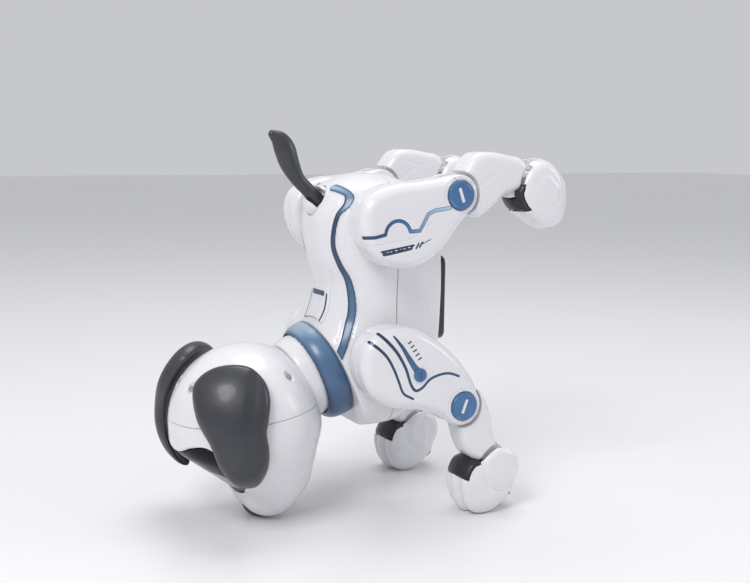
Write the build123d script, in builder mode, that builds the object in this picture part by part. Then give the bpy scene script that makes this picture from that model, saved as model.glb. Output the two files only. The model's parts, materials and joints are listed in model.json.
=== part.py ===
"""Robot dog toy, standing on its nose and two front paws in a handstand.

Frame: millimetres, +Z up, floor at z = 0. The dog's back faces -X and its belly +X, its head is down (-Z),
its left side is -Y and its right side is +Y. Left and right legs are mirror images about y = 0.
"""
from build123d import *
import math
import os

# ---- Driving dimensions -------------------------------------------------------------------------
WALL = 2.4                      # casing wall
GAP = 0.4                       # air between bodies that move past each other
PIN_RADIUS = 3.0                # knee and ankle pins
RUN = 0.06                      # radial running clearance of a pin in its bore

# Legs, layered outwards from the torso's side (all |y|)
THIGH_IN, LEG_MID, THIGH_OUT = 41.0, 54.0, 67.0
SHIN_HALF = 11.0                # half width of the wide calf
KNEE_TONGUE = 5.5               # half width of the shin's tongue at the knee
ANKLE_TONGUE = 7.0              # half width of the shin's tongue at the ankle
PAW_HALF = 16.0
PAW_CORE = 9.0                  # half width of the hollow in the paw
PAW_WALL = 4.0                  # sole and toe thickness round that hollow
KNEE_RADIUS = 13.0              # thigh's round end
KNEE_RELIEF = 15.5              # the calf starts this far from the knee axis
ANKLE_RADIUS = 16.0             # paw's round cheeks
ANKLE_HUB = 9.0                 # round end of the shin's ankle tongue
HUB_RADIUS = 6.0                # hip and shoulder shafts
CAP = {"radius": 9.5, "proud": 2.4, "slot": (10.5, 2.2), "depth": 0.8, "turn": 70.0}    # blue knee caps
BUTTON = {"centre": (14.0, 101.0), "radius": 4.5, "proud": 1.4}     # small button on the front thighs

# Side view (x, z) of each leg: axes, thigh lobe circles, calf outline from the knee, paw turn about +Y
LEGS = {
    "hind": {
        "hip": (0.0, 197.0), "knee": (42.0, 216.0), "ankle": (106.0, 222.0),
        "lobes": [(0.0, 197.0, 27.0), (22.0, 199.0, 19.0)],
        "calf": [(0, 6), (9, 24), (24, 28), (40, 25), (56, 16), (60, 3), (38, 1), (16, -15), (7, -8)],
        "paw_turn": 0.0, "boot": [(-17.2, -3.6), (-8, -3.6), (-8, -13), (-12.5, -17.2), (-17.2, -17)],
    },
    "front": {
        "hip": (0.5, 106.0), "knee": (48.0, 77.0), "ankle": (79.0, 31.0),
        "lobes": [(0.5, 106.0, 26.0), (22.0, 103.0, 21.0)],
        "calf": [(4, 9), (14, 11), (25, -2), (30, -22), (37, -40), (20, -43), (5, -34), (-1, -20), (-1, -8)],
        "paw_turn": 49.0, "boot": [(-17.3, -9), (-14, -7), (-8, -14), (-10.5, -17), (-17.3, -17.5)],
    },
}
SIDES = {"left": -1, "right": 1}

# The paw in its own frame: ankle at 0, sole towards +x, toes towards -z
TOES = (9.5, -21.5)
PAW_CIRCLES = [(0, 0, ANKLE_RADIUS), (12.5, 3, 12.5), (*TOES, 15.5), (-6.5, -18.5, 11.0)]
TOE_GROOVE = {"outer": 17.0, "inner": 12.5, "half": 0.9}
BEHIND_TOES = [(-40, -14), (40, -14), (40, 40), (-40, 40)]
NOTCH = [(0, -9.4), (0, 30), (-40, 30), (-40, -9.4)]    # open side of the gap between the cheeks
BOOT_ROOM = [(-45, 12), (-45, -18), (-13, -18), (-6.5, -13.5), (-6.5, -9.4), (-16.6, -1), (-16.6, 12)]
BOOT_HALF = 12.0
ROLLER_AXLE = 1.5
ROLLER = (18.6, -7.0, 7.0, 3.6)     # roller centre in the paw's frame, radius, half width
ROLLER_ROOM = 0.6               # radial air round the roller

# Torso: z, x at the back, x at the belly, half width, corner radius
TORSO = [
    (58.0, -20.0, 20.0, 20.0, 18.0),
    (63.0, -31.0, 32.0, 30.0, 27.0),
    (76.0, -41.0, 46.0, 37.0, 33.0),
    (96.0, -45.0, 55.0, 39.3, 34.0),
    (116.0, -41.0, 58.0, 39.3, 34.0),
    (134.0, -30.0, 59.5, 38.5, 34.0),
    (152.0, -26.0, 60.0, 38.5, 34.0),
    (172.0, -31.0, 59.0, 39.0, 34.0),
    (192.0, -35.0, 56.5, 39.3, 34.0),
    (208.0, -32.0, 50.0, 37.5, 33.0),
    (220.0, -24.0, 37.0, 30.0, 27.0),
    (228.0, -8.0, 18.0, 14.0, 12.0),
]
SEAM_X = 12.0

# Neck: the collar's centre and the direction the head points, 24 degrees below -X
NECK_TILT = 24.0
COLLAR = (-31.0, 0.0, 96.0)
NECK = (-math.cos(math.radians(NECK_TILT)), 0.0, -math.sin(math.radians(NECK_TILT)))
COLLAR_HALF, COLLAR_RADIUS = 8.5, 37.0
COLLAR_BAND, COLLAR_WEB = 3.5, 5.0      # thickness of the collar's band and of its inner web
NECK_TUBE = 18.0                # radius of the tube that turns in the collar
NECK_FLARE = (34.5, 30.0)       # radius of the head's neck at the collar and at the head

# Head: a ball and a chin ball under one skin, planed to a shallow face for the visor, with a short snout
HEAD = (-80.0, 0.0, 67.0)
HEAD_RADIUS = 50.7
CHIN = (-70.0, 0.0, 36.5)
CHIN_RADIUS = 35.5
FACE = (-0.6, 0.0, -0.8)        # direction that the face looks
FACE_DEPTH, FACE_ROUND = 42.6, 70.0     # the face from the ball's centre, and its curve from cheek to cheek
SNOUT = (-67.0, 22.0)           # side view of the snout, a capsule across the face
SNOUT_HALF, SNOUT_RADIUS = 8.0, 20.5
NOSE = (-73.0, 0.0, 9.5)
NOSE_RADIUS = 9.5               # the nose is a rubber ball end under the snout, which touches the floor
HEAD_CUT = 41.0                 # flat back of the head, from the ball's centre towards the collar
EAR_IN, EAR_OUT = 51.4, 61.0    # the ear is a piece of a ball shell round the head
EAR_REST = {"left": 0.0, "right": 42.0}     # how far each ear is swung forward at rest, degrees

# Tail
TAIL_PIVOT = (-28.0, 0.0, 209.5)
# side view of the tail's middle line, after the pivot
TAIL_ROUTE = [(-38, 219), (-46.5, 229), (-49.5, 240), (-54, 248), (-59.5, 251.5)]
TAIL_TIP = (-0.9, 0.0, 0.43)    # direction at the tip
TAIL_PIN = 2.0
TAIL_LEAN = 46.0                # wag axis above +X, degrees
TAIL_RADIUS = 5.5
SOCKET_RADIUS = 10.6

os.makedirs("parts", exist_ok=True)


def save(part, label):
    """Name a finished piece and write its STEP file."""
    part.label = label
    export_step(part, f"parts/{label}.step")
    return part


def side_face(y_low, y_high):
    """Plane at y_high looking along -Y with sketch axes (x, z), and the depth to reach y_low."""
    return Plane.XZ.offset(-y_high), y_high - y_low


def span(side, near, far):
    """Low and high y of the layer between |y| = near and far on one side of the dog."""
    low, high = sorted((side * near, side * far))
    return low, high


def along(point, direction, distance):
    return tuple(p + d * distance for p, d in zip(point, direction))


def turn_xz(x, z, degrees):
    """Turn a side-view vector about +Y (x goes towards -z)."""
    c, s = math.cos(math.radians(degrees)), math.sin(math.radians(degrees))
    return (x * c + z * s, -x * s + z * c)


def layer_circle(centre, radius, y_low, y_high, mode=Mode.ADD):
    """A disc about an axis along Y."""
    plane, depth = side_face(y_low, y_high)
    with BuildSketch(plane) as disc:
        with Locations(centre):
            Circle(radius)
    return extrude(disc.sketch, amount=depth, mode=mode)


def layer_polygon(points, y_low, y_high, corner=0.0, mode=Mode.ADD):
    """A side-view polygon with rounded corners, extruded across a layer."""
    plane, depth = side_face(y_low, y_high)
    with BuildSketch(plane) as outline:
        with BuildLine():
            Polyline(*points, close=True)
        make_face()
        if corner > 0:
            fillet(outline.vertices(), corner)
    return extrude(outline.sketch, amount=depth, mode=mode)


def layer_curve(points, y_low, y_high, mode=Mode.ADD):
    """A smooth closed side-view outline through the points, extruded across a layer."""
    plane, depth = side_face(y_low, y_high)
    with BuildSketch(plane) as outline:
        with BuildLine():
            Spline(*points, periodic=True)
        make_face()
    return extrude(outline.sketch, amount=depth, mode=mode)


def layer_hull(circles, y_low, y_high, grow=0.0, mode=Mode.ADD):
    """The hull of side-view circles, extruded across a layer."""
    plane, depth = side_face(y_low, y_high)
    with BuildSketch(plane) as hull:
        for x, z, radius in circles:
            with Locations((x, z)):
                Circle(radius + grow)
        make_hull()
    return extrude(hull.sketch, amount=depth, mode=mode)


def torso_loft(grow, mode=Mode.ADD):
    """The torso's skin, moved outwards by grow; the hollow uses a negative one."""
    rings = []
    for z, back, belly, half, corner in TORSO:
        end = -grow if z == TORSO[0][0] else grow if z == TORSO[-1][0] else 0.0
        with BuildSketch(Plane.XY.offset(z + end), mode=Mode.PRIVATE) as ring:
            with Locations(((back + belly) / 2, 0)):
                RectangleRounded(belly - back + 2 * grow, 2 * (half + grow), corner + grow)
        rings.append(ring.sketch)
    return loft(rings, mode=mode)


def head_form(shrink, mode=Mode.ADD):
    """The head's skin, moved inwards by shrink."""
    ball, chin = Vector(HEAD[0], HEAD[2]), Vector(CHIN[0], CHIN[2])
    line = (chin - ball).normalized()
    side = Vector(line.Y, -line.X)
    reach = 3 * HEAD_RADIUS
    with BuildSketch(Plane.XZ, mode=Mode.PRIVATE) as profile:
        for centre, radius in ((ball, HEAD_RADIUS), (chin, CHIN_RADIUS)):
            with Locations((centre.X, centre.Y)):
                Circle(radius - shrink)
        make_hull()
        corners = [ball - line * reach, ball + line * reach, ball + line * reach + side * reach,
                   ball - line * reach + side * reach]
        with BuildLine():
            Polyline(*[(c.X, c.Y) for c in corners], close=True)
        make_face(mode=Mode.SUBTRACT)
    face_axis = Plane(origin=along(HEAD, FACE, FACE_DEPTH - FACE_ROUND), x_dir=(0, 1, 0),
                      z_dir=(-FACE[2], 0, FACE[0]))
    with BuildPart(mode=Mode.PRIVATE) as form:
        revolve(profile.sketch, axis=Axis(HEAD, (line.X, 0, line.Y)))
        with BuildSketch(face_axis):
            Circle(FACE_ROUND - shrink)
        extrude(amount=reach, both=True, mode=Mode.INTERSECT)
        layer_circle(SNOUT, SNOUT_RADIUS - shrink, -SNOUT_HALF, SNOUT_HALF)
        with Locations(*((SNOUT[0], y, SNOUT[1]) for y in (-SNOUT_HALF, SNOUT_HALF))):
            Sphere(SNOUT_RADIUS - shrink)
    return add(form.part, mode=mode)


def neck_plane(distance):
    """Plane across the neck, distance mm from the collar's middle towards the head."""
    return Plane(origin=along(COLLAR, NECK, distance), x_dir=(0, 1, 0), z_dir=NECK)


def neck_disc(radius, start, end, mode=Mode.ADD):
    with BuildSketch(neck_plane(start)) as disc:
        Circle(radius)
    return extrude(disc.sketch, amount=end - start, mode=mode)


# ---- Torso --------------------------------------------------------------------------------------
# neck distance of the head's flat back
HEAD_BACK = sum((h - c) * n for h, c, n in zip(HEAD, COLLAR, NECK)) - HEAD_CUT
DOOR = {"x": (57.5, 63.5), "half": 15.0, "z": (112.0, 171.0)}
PORT = {"z": 162.0, "half": 6.0, "height": 7.0, "depth": 5.0}
SWITCH = {"z": 121.0, "half": 2.5, "length": 6.0, "travel": 3.0, "depth": 3.2}
BATTERY = {"x": (22.0, 52.0), "half": 17.0, "z": (118.0, 166.0)}
SERVO = {"x": 10.5, "y": (13.0, 31.0), "z": 12.0, "shaft": 8.0}
FRAME_X = (10.8, 13.8)
BOARD = {"x": (-15.0, -13.4), "half": 22.0, "z": (124.0, 180.0)}
SPEAKER = {"x": (38.0, 46.0), "z": 92.0, "radius": 13.0}
SCREW = {"head": 2.1, "shank": 1.2, "hole": 1.25, "sink": 2.0}
RECESS = {"slot": (8.4, 5.2), "depth": 1.4}     # oval recesses over the head's screws
SCREW_SPOTS = [(s * 11.0, z) for s in SIDES.values() for z in (DOOR["z"][0] + 20, DOOR["z"][1] - 17)]
TORSO_AXES = {name: leg["hip"] for name, leg in LEGS.items()}
TAIL_AXIS = (math.cos(math.radians(TAIL_LEAN)), 0.0, math.sin(math.radians(TAIL_LEAN)))
TAIL_LINE = (-TAIL_AXIS[2], 0.0, TAIL_AXIS[0])


def torso_shell():
    """The closed casing before it is split: hollow, cut at the collar, open for the tail and four shafts."""
    with BuildPart() as casing:
        torso_loft(0.0)
        torso_loft(-WALL, mode=Mode.SUBTRACT)
        split(bisect_by=neck_plane(-COLLAR_HALF), keep=Keep.BOTTOM)
        with Locations(TAIL_PIVOT):
            Sphere(SOCKET_RADIUS, mode=Mode.SUBTRACT)
        for centre in TORSO_AXES.values():
            layer_circle(centre, HUB_RADIUS + RUN, -THIGH_IN, THIGH_IN, mode=Mode.SUBTRACT)
    return casing.part


casing = torso_shell()

with BuildPart() as torso_back_shell:
    add(casing)
    split(bisect_by=Plane.YZ.offset(SEAM_X), keep=Keep.BOTTOM)

with BuildPart() as torso_belly_shell:
    add(casing)
    split(bisect_by=Plane.YZ.offset(SEAM_X), keep=Keep.TOP)
    # flat seat and opening for the belly door
    with Locations(((DOOR["x"][0] + 90) / 2, 0, sum(DOOR["z"]) / 2)):
        Box(90 - DOOR["x"][0], 2 * DOOR["half"], DOOR["z"][1] - DOOR["z"][0], mode=Mode.SUBTRACT)

# Battery door: a raised rounded panel on the belly, with the port and the switch in it
with BuildPart() as belly_door:
    low, high = DOOR["x"]
    with BuildSketch(Plane.YZ.offset(low)):
        with Locations((0, sum(DOOR["z"]) / 2)):
            RectangleRounded(2 * DOOR["half"], DOOR["z"][1] - DOOR["z"][0], 6)
    extrude(amount=high - low)
    fillet(belly_door.edges().group_by(Axis.X)[-1], 2.0)
    with Locations((high, 0, PORT["z"])):
        Box(2 * PORT["depth"], 2 * PORT["half"], PORT["height"], mode=Mode.SUBTRACT)
    with Locations((high, 0, SWITCH["z"])):
        Box(2 * SWITCH["depth"], 2 * SWITCH["half"] + 0.3, SWITCH["length"] + 2 * SWITCH["travel"] + 0.3,
            mode=Mode.SUBTRACT)
    for y, z in SCREW_SPOTS:
        with Locations(Plane(origin=(high, y, z), z_dir=(1, 0, 0))):
            CounterBoreHole(SCREW["hole"], SCREW["head"] + 0.2, SCREW["sink"])

with BuildPart() as charging_port:
    high = DOOR["x"][1]
    with Locations((high - PORT["depth"] / 2 - 0.2, 0, PORT["z"])):
        Box(PORT["depth"] - 0.4, 2 * PORT["half"], PORT["height"])
        Box(PORT["depth"] - 0.4, 2 * PORT["half"] - 3, PORT["height"] - 3.6, mode=Mode.SUBTRACT)
    with Locations((high - PORT["depth"] + 1.5, 0, PORT["z"])):
        Box(2.2, 2 * PORT["half"] - 5, 0.8)
        Box(2.2, 0.6, PORT["height"] - 3)

with BuildPart() as power_switch:
    high = DOOR["x"][1]
    with Locations((high - SWITCH["depth"] / 2 + 0.9, 0, SWITCH["z"])):
        Box(SWITCH["depth"] + 1.5, 2 * SWITCH["half"], SWITCH["length"])
    fillet(power_switch.edges().group_by(Axis.X)[-1], 0.8)

with BuildPart() as body_screws:
    for y, z in SCREW_SPOTS:
        seat = DOOR["x"][1] - SCREW["sink"]
        with BuildSketch(Plane.YZ.offset(seat)):
            with Locations((y, z)):
                Circle(SCREW["head"])
        extrude(amount=1.4)
        with BuildSketch(Plane.YZ.offset(seat)):
            with Locations((y, z)):
                Circle(SCREW["shank"])
        extrude(amount=DOOR["x"][0] - seat)

with BuildPart() as battery_pack:
    with Locations((sum(BATTERY["x"]) / 2, 0, sum(BATTERY["z"]) / 2)):
        Box(BATTERY["x"][1] - BATTERY["x"][0], 2 * BATTERY["half"], BATTERY["z"][1] - BATTERY["z"][0])
    fillet(battery_pack.edges().filter_by(Axis.Z), 5)

with BuildPart() as main_board:
    with Locations((sum(BOARD["x"]) / 2, 0, sum(BOARD["z"]) / 2)):
        Box(BOARD["x"][1] - BOARD["x"][0], 2 * BOARD["half"], BOARD["z"][1] - BOARD["z"][0])
    with Locations((BOARD["x"][1] + 1.5, 0, 150)):
        Box(3, 14, 14)
    with Locations((BOARD["x"][1] + 3, 10, 170)):
        Box(6, 9, 7)

with BuildPart() as chassis_frame:
    for _, z in TORSO_AXES.values():
        with Locations((sum(FRAME_X) / 2, 0, z)):
            Box(FRAME_X[1] - FRAME_X[0], 60, 26)
    with Locations((sum(FRAME_X) / 2, 0, (106 + 197) / 2)):
        Box(FRAME_X[1] - FRAME_X[0], 30, 91)
        Box(FRAME_X[1] - FRAME_X[0], 16, 44, mode=Mode.SUBTRACT)

with BuildPart() as leg_servos:
    for x, z in TORSO_AXES.values():
        for side in SIDES.values():
            low, high = span(side, *SERVO["y"])
            with Locations((x, (low + high) / 2, z)):
                Box(2 * SERVO["x"] - 1, high - low, 2 * SERVO["z"])

with BuildPart() as speaker:
    with BuildSketch(Plane.YZ.offset(SPEAKER["x"][0])):
        with Locations((0, SPEAKER["z"])):
            Circle(SPEAKER["radius"])
    extrude(amount=5)
    with BuildSketch(Plane.YZ.offset(SPEAKER["x"][0] - 5)):
        with Locations((0, SPEAKER["z"])):
            Circle(SPEAKER["radius"] * 0.55)
    extrude(amount=5)

# Collar: an outer band and an inner web whose bore carries the neck tube
with BuildPart() as collar:
    neck_disc(COLLAR_RADIUS, -COLLAR_HALF, COLLAR_HALF)
    fillet(collar.edges().filter_by(GeomType.CIRCLE), 3.0)
    neck_disc(COLLAR_RADIUS - COLLAR_BAND, -COLLAR_HALF + COLLAR_WEB, COLLAR_HALF, mode=Mode.SUBTRACT)
    neck_disc(NECK_TUBE + RUN, -COLLAR_HALF, COLLAR_HALF, mode=Mode.SUBTRACT)

with BuildPart() as neck_servo:
    neck_disc(12.0, -COLLAR_HALF - 12, -COLLAR_HALF - 1)
    neck_disc(4.0, -COLLAR_HALF - 1, COLLAR_HALF + 2)

# Raised plate over the withers, just above the collar
NAPE = [(-16, 154), (-34, 153), (-37.5, 140), (-43, 131), (-38, 121), (-16, 121)]
with BuildPart() as nape_plate:
    layer_polygon(NAPE, -15, 15)
    fillet(nape_plate.edges().filter_by(Axis.Y), 1.5)
    torso_loft(0.0, mode=Mode.SUBTRACT)
    neck_disc(COLLAR_RADIUS + 1, -COLLAR_HALF - 1, COLLAR_HALF + 30, mode=Mode.SUBTRACT)
    split(bisect_by=Plane.YZ.offset(-10), keep=Keep.BOTTOM)

# Side stripes: an S-shaped strip laid on each flank from the rump to the collar
STRIPE_LINE = [(-33, 221.5), (-19.5, 217), (-25.5, 205), (-29, 190), (-26, 172), (-17.5, 155), (-16.5, 141),
               (-22, 126), (-29, 109)]
with BuildPart() as side_stripes:
    plane, depth = side_face(-60, 60)
    with BuildSketch(plane):
        with BuildLine(mode=Mode.PRIVATE) as middle:
            Spline(*STRIPE_LINE)
        trace(middle.line, line_width=5.0)
    extrude(amount=depth)
    torso_loft(0.7, mode=Mode.INTERSECT)
    torso_loft(0.0, mode=Mode.SUBTRACT)
    with Locations((0, 0, 150)):
        Box(200, 44, 200, mode=Mode.SUBTRACT)
    neck_disc(COLLAR_RADIUS + 20, -COLLAR_HALF - 0.5, 60, mode=Mode.SUBTRACT)
    with Locations(TAIL_PIVOT):
        Sphere(SOCKET_RADIUS + 0.5, mode=Mode.SUBTRACT)

# ---- Tail ---------------------------------------------------------------------------------------
SOCKET_SLOT = TAIL_RADIUS + GAP + 0.2
with BuildPart() as tail_socket:
    with Locations(TAIL_PIVOT):
        Sphere(SOCKET_RADIUS)
    slot = Plane(origin=along(TAIL_PIVOT, TAIL_AXIS, -SOCKET_SLOT), x_dir=TAIL_LINE, z_dir=TAIL_AXIS)
    with BuildSketch(slot):
        Circle(TAIL_RADIUS + GAP)
        with Locations((15, 0)):
            Rectangle(30, 60)
    extrude(amount=2 * SOCKET_SLOT, mode=Mode.SUBTRACT)
    with BuildSketch(slot.offset(-2)):
        Circle(TAIL_PIN)
    extrude(amount=2 * SOCKET_SLOT + 4)

with BuildPart() as tail:
    points = [Vector(*TAIL_PIVOT)] + [Vector(x, 0, z) for x, z in TAIL_ROUTE]
    with BuildLine(mode=Mode.PRIVATE) as curve:
        Spline(*points, tangents=[Vector(*TAIL_LINE), Vector(*TAIL_TIP)])
    with BuildSketch(Plane(origin=points[0], x_dir=TAIL_AXIS, z_dir=TAIL_LINE)):
        Circle(TAIL_RADIUS)
    sweep(path=curve.line)
    for end in (points[0], points[-1]):
        with Locations(end):
            Sphere(TAIL_RADIUS)
    across = Plane(origin=along(TAIL_PIVOT, TAIL_AXIS, -TAIL_RADIUS - 1), x_dir=TAIL_LINE, z_dir=TAIL_AXIS)
    with BuildSketch(across):
        Circle(TAIL_PIN + RUN)
    extrude(amount=2 * TAIL_RADIUS + 2, mode=Mode.SUBTRACT)

# ---- Head ---------------------------------------------------------------------------------------
SEAM_SLOPE = 6.0                # the head's seam rises towards +X, degrees
HEAD_SEAM = Plane(origin=(HEAD[0], 0, HEAD[2] + 8.4), x_dir=(0, 1, 0),
                  z_dir=(-math.sin(math.radians(SEAM_SLOPE)), 0, math.cos(math.radians(SEAM_SLOPE))))
HEAD_SCREWS = [(17, 34, 34), (-17, 15, 46), (-42, 12, 27)]  # directions from the ball's centre, both sides
EYE_BOARD, EYE_DEPTH = (1.6, 44, 24), 31.6      # board behind the visor, and its depth from the ball's centre
EYE, EYE_Y = (1.2, 12, 12), 15.0                # light panel of each eye
# The visor's outline from the front: y, z of its right half
VISOR_HALF = [(11, 52), (22, 58), (36, 60), (39, 46), (33, 30), (20, 19.5)]
VISOR = VISOR_HALF + [(-y, z) for y, z in reversed(VISOR_HALF)]


# Ears: pear-shaped pieces of a ball shell that hang beside the head, seen along EAR_LOOK
EAR_LOOK = Vector(-0.35, -0.80, 0.49).normalized()
EAR_ACROSS = Vector(-EAR_LOOK.Y, EAR_LOOK.X, 0).normalized()
EAR_PEG = 2.4
EAR_SWING = {"azimuth": 241.6, "rise": 36.0}    # swing axis from the ball's centre, left ear, degrees
EAR_OUTLINE = [
    (-30.5, 2), (-20, 18), (-5, 20.5), (11, 13.5), (18, -4), (16, -20), (17, -35), (9, -50), (-1, -52),
    (-12, -42), (-26, -17),
]


def ear_axis(side):
    """Unit vector from the head ball's centre through the ear's peg."""
    azimuth, rise = math.radians(EAR_SWING["azimuth"]), math.radians(EAR_SWING["rise"])
    y = math.cos(rise) * math.sin(azimuth)
    return Vector(math.cos(rise) * math.cos(azimuth), -side * y, math.sin(rise))


def ear_peg(side, radius, start, end, mode=Mode.ADD):
    axis = ear_axis(side)
    with BuildSketch(Plane(origin=Vector(*HEAD) + axis * start, z_dir=axis)) as disc:
        Circle(radius)
    return extrude(disc.sketch, amount=end - start, mode=mode)


def ear_part(side):
    """One ear; the outline is drawn for the left ear and mirrored for the right one."""
    view = Plane(origin=HEAD, x_dir=EAR_ACROSS, z_dir=EAR_LOOK)
    with BuildPart() as piece:
        with BuildSketch(view):
            with BuildLine():
                Spline(*EAR_OUTLINE, periodic=True)
            make_face()
        extrude(amount=EAR_OUT + 5)
        with Locations(HEAD):
            Sphere(EAR_OUT, mode=Mode.INTERSECT)
            Sphere(EAR_IN, mode=Mode.SUBTRACT)
        head_form(-0.6, mode=Mode.SUBTRACT)
        ear_peg(-1, EAR_PEG, HEAD_RADIUS - 5, EAR_IN + 2)
        if side > 0:
            mirror(about=Plane.XZ, mode=Mode.REPLACE)
    forward = side * EAR_REST["right" if side > 0 else "left"]
    return piece.part.rotate(Axis(HEAD, tuple(ear_axis(side))), forward)


def head_shell():
    """The hollow head before it is split at its seam."""
    with BuildPart() as form:
        head_form(0.0)
        split(bisect_by=neck_plane(HEAD_BACK), keep=Keep.TOP)
    with BuildPart() as hollow:
        head_form(WALL)
        split(bisect_by=neck_plane(HEAD_BACK + WALL), keep=Keep.TOP)
    with BuildPart() as shell:
        add(form.part)
        add(hollow.part, mode=Mode.SUBTRACT)
        for x, y, z in HEAD_SCREWS:
            for side in SIDES.values():
                direction = Vector(x, side * y, z).normalized()
                centre = Vector(*HEAD) + direction * (HEAD_RADIUS - RECESS["depth"])
                seat = Plane(origin=centre, z_dir=direction)
                with BuildSketch(seat):
                    SlotOverall(*RECESS["slot"])
                extrude(amount=5, mode=Mode.SUBTRACT)
                with BuildSketch(seat.offset(-3)):
                    Circle(SCREW["hole"])
                extrude(amount=5, mode=Mode.SUBTRACT)
        for side in SIDES.values():
            ear_peg(side, EAR_PEG + RUN, HEAD_RADIUS - 6, HEAD_RADIUS + 1, mode=Mode.SUBTRACT)
    return shell.part


whole_head = head_shell()

with BuildPart() as visor_block:
    with BuildSketch(Plane.YZ.offset(-140)) as window:
        with BuildLine():
            Polyline(*VISOR, close=True)
        make_face()
        fillet(window.vertices(), 4)
    extrude(amount=55)
visor_solid = visor_block.part

with BuildPart() as nose_block:
    with Locations(NOSE):
        Sphere(NOSE_RADIUS)
nose_solid = nose_block.part

with BuildPart() as head_back_shell:
    add(whole_head)
    split(bisect_by=HEAD_SEAM, keep=Keep.TOP)

with BuildPart() as face_shell:
    add(whole_head)
    split(bisect_by=HEAD_SEAM, keep=Keep.BOTTOM)
    add(visor_solid, mode=Mode.SUBTRACT)
    add(nose_solid, mode=Mode.SUBTRACT)

with BuildPart() as face_visor:
    add(whole_head)
    split(bisect_by=HEAD_SEAM, keep=Keep.BOTTOM)
    add(visor_solid, mode=Mode.INTERSECT)

with BuildPart() as nose:
    add(nose_solid)
    head_form(WALL, mode=Mode.SUBTRACT)

with BuildPart() as eye_board:
    facing = math.degrees(math.asin(FACE[2]))
    for size, depth, places in ((EYE_BOARD, EYE_DEPTH, (0,)), (EYE, EYE_DEPTH + 1.4, (-EYE_Y, EYE_Y))):
        x, _, z = along(HEAD, FACE, depth)
        with Locations(*(Location((x, y, z), (0, facing, 0)) for y in places)):
            Box(*size)

with BuildPart() as head_screws:
    for x, y, z in HEAD_SCREWS:
        for side in SIDES.values():
            direction = Vector(x, side * y, z).normalized()
            centre = Vector(*HEAD) + direction * (HEAD_RADIUS - RECESS["depth"])
            seat = Plane(origin=centre, z_dir=direction)
            with BuildSketch(seat):
                Circle(SCREW["head"])
            extrude(amount=1.0)
            with BuildSketch(seat):
                Circle(SCREW["shank"])
            extrude(amount=-5)

# Neck ring: the head's flared neck and the tube that turns in the collar
with BuildPart() as neck_ring:
    for radius, distance in zip(NECK_FLARE, (COLLAR_HALF + 2 * GAP, HEAD_BACK)):
        with BuildSketch(neck_plane(distance)):
            Circle(radius)
    loft()
    neck_disc(NECK_TUBE, -COLLAR_HALF + 0.3, HEAD_BACK)
    neck_disc(NECK_TUBE - 3.0, -COLLAR_HALF + 0.3, COLLAR_HALF + 2.5, mode=Mode.SUBTRACT)

ears = {name: ear_part(side) for name, side in SIDES.items()}

for piece, label in (
    (torso_back_shell, "torso_back_shell"), (torso_belly_shell, "torso_belly_shell"),
    (belly_door, "belly_door"), (charging_port, "charging_port"), (power_switch, "power_switch"),
    (body_screws, "body_screws"), (battery_pack, "battery_pack"), (main_board, "main_board"),
    (chassis_frame, "chassis_frame"), (leg_servos, "leg_servos"), (speaker, "speaker"), (collar, "collar"),
    (neck_servo, "neck_servo"), (nape_plate, "nape_plate"), (side_stripes, "side_stripes"),
    (tail_socket, "tail_socket"), (tail, "tail"), (head_back_shell, "head_back_shell"),
    (face_shell, "face_shell"), (face_visor, "face_visor"), (nose, "nose"), (eye_board, "eye_board"),
    (head_screws, "head_screws"), (neck_ring, "neck_ring"),
):
    save(piece.part, label)
for name, ear in ears.items():
    save(ear, f"ear_{name}")


# ---- Legs ---------------------------------------------------------------------------------------
def thigh_part(leg, side, outer):
    """One half of a thigh: a cup whose open side faces the leg's middle layer."""
    rim, face = (LEG_MID, THIGH_OUT) if outer else (LEG_MID, THIGH_IN)
    circles = leg["lobes"] + [(*leg["knee"], KNEE_RADIUS)]
    low, high = span(side, rim, face)
    inner_low, inner_high = span(side, rim, face - math.copysign(WALL, face - rim))
    with BuildPart() as half:
        layer_hull(circles, low, high)
        outside = half.faces().sort_by(Axis.Y)[-1 if face * side > rim * side else 0]
        fillet(outside.edges(), 5.0 if outer else 2.5)
        layer_hull(leg["lobes"], inner_low, inner_high, grow=-WALL - 1.5, mode=Mode.SUBTRACT)
        # room for the shin's tongue, and the pin's bore through the cheek
        tongue = span(side, LEG_MID - KNEE_TONGUE - GAP, LEG_MID + KNEE_TONGUE + GAP)
        layer_circle(leg["knee"], KNEE_RELIEF - 1.0, *tongue, mode=Mode.SUBTRACT)
        layer_circle(leg["knee"], PIN_RADIUS, *span(side, THIGH_IN + 2.0, THIGH_OUT + 1), mode=Mode.SUBTRACT)
        if not outer:
            layer_circle(leg["hip"], HUB_RADIUS, *span(side, SERVO["y"][1], THIGH_IN + 1))
    return half.part


def knee_cap_part(leg, side):
    """Blue cap with a slot, and the pin behind it that the shin turns on."""
    with BuildPart() as cap:
        layer_circle(leg["knee"], CAP["radius"], *span(side, THIGH_OUT, THIGH_OUT + CAP["proud"]))
        tip = cap.faces().sort_by(Axis.Y)[-1 if side > 0 else 0]
        fillet(tip.edges(), 0.8)
        layer_circle(leg["knee"], PIN_RADIUS, *span(side, THIGH_IN + 2.0, THIGH_OUT))
        tip_level = THIGH_OUT + CAP["proud"]
        plane, depth = side_face(*span(side, tip_level - CAP["depth"], tip_level + 1))
        with BuildSketch(plane):
            with Locations(Location(leg["knee"], CAP["turn"])):
                SlotOverall(*CAP["slot"])
        extrude(amount=depth, mode=Mode.SUBTRACT)
    return cap.part


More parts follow.
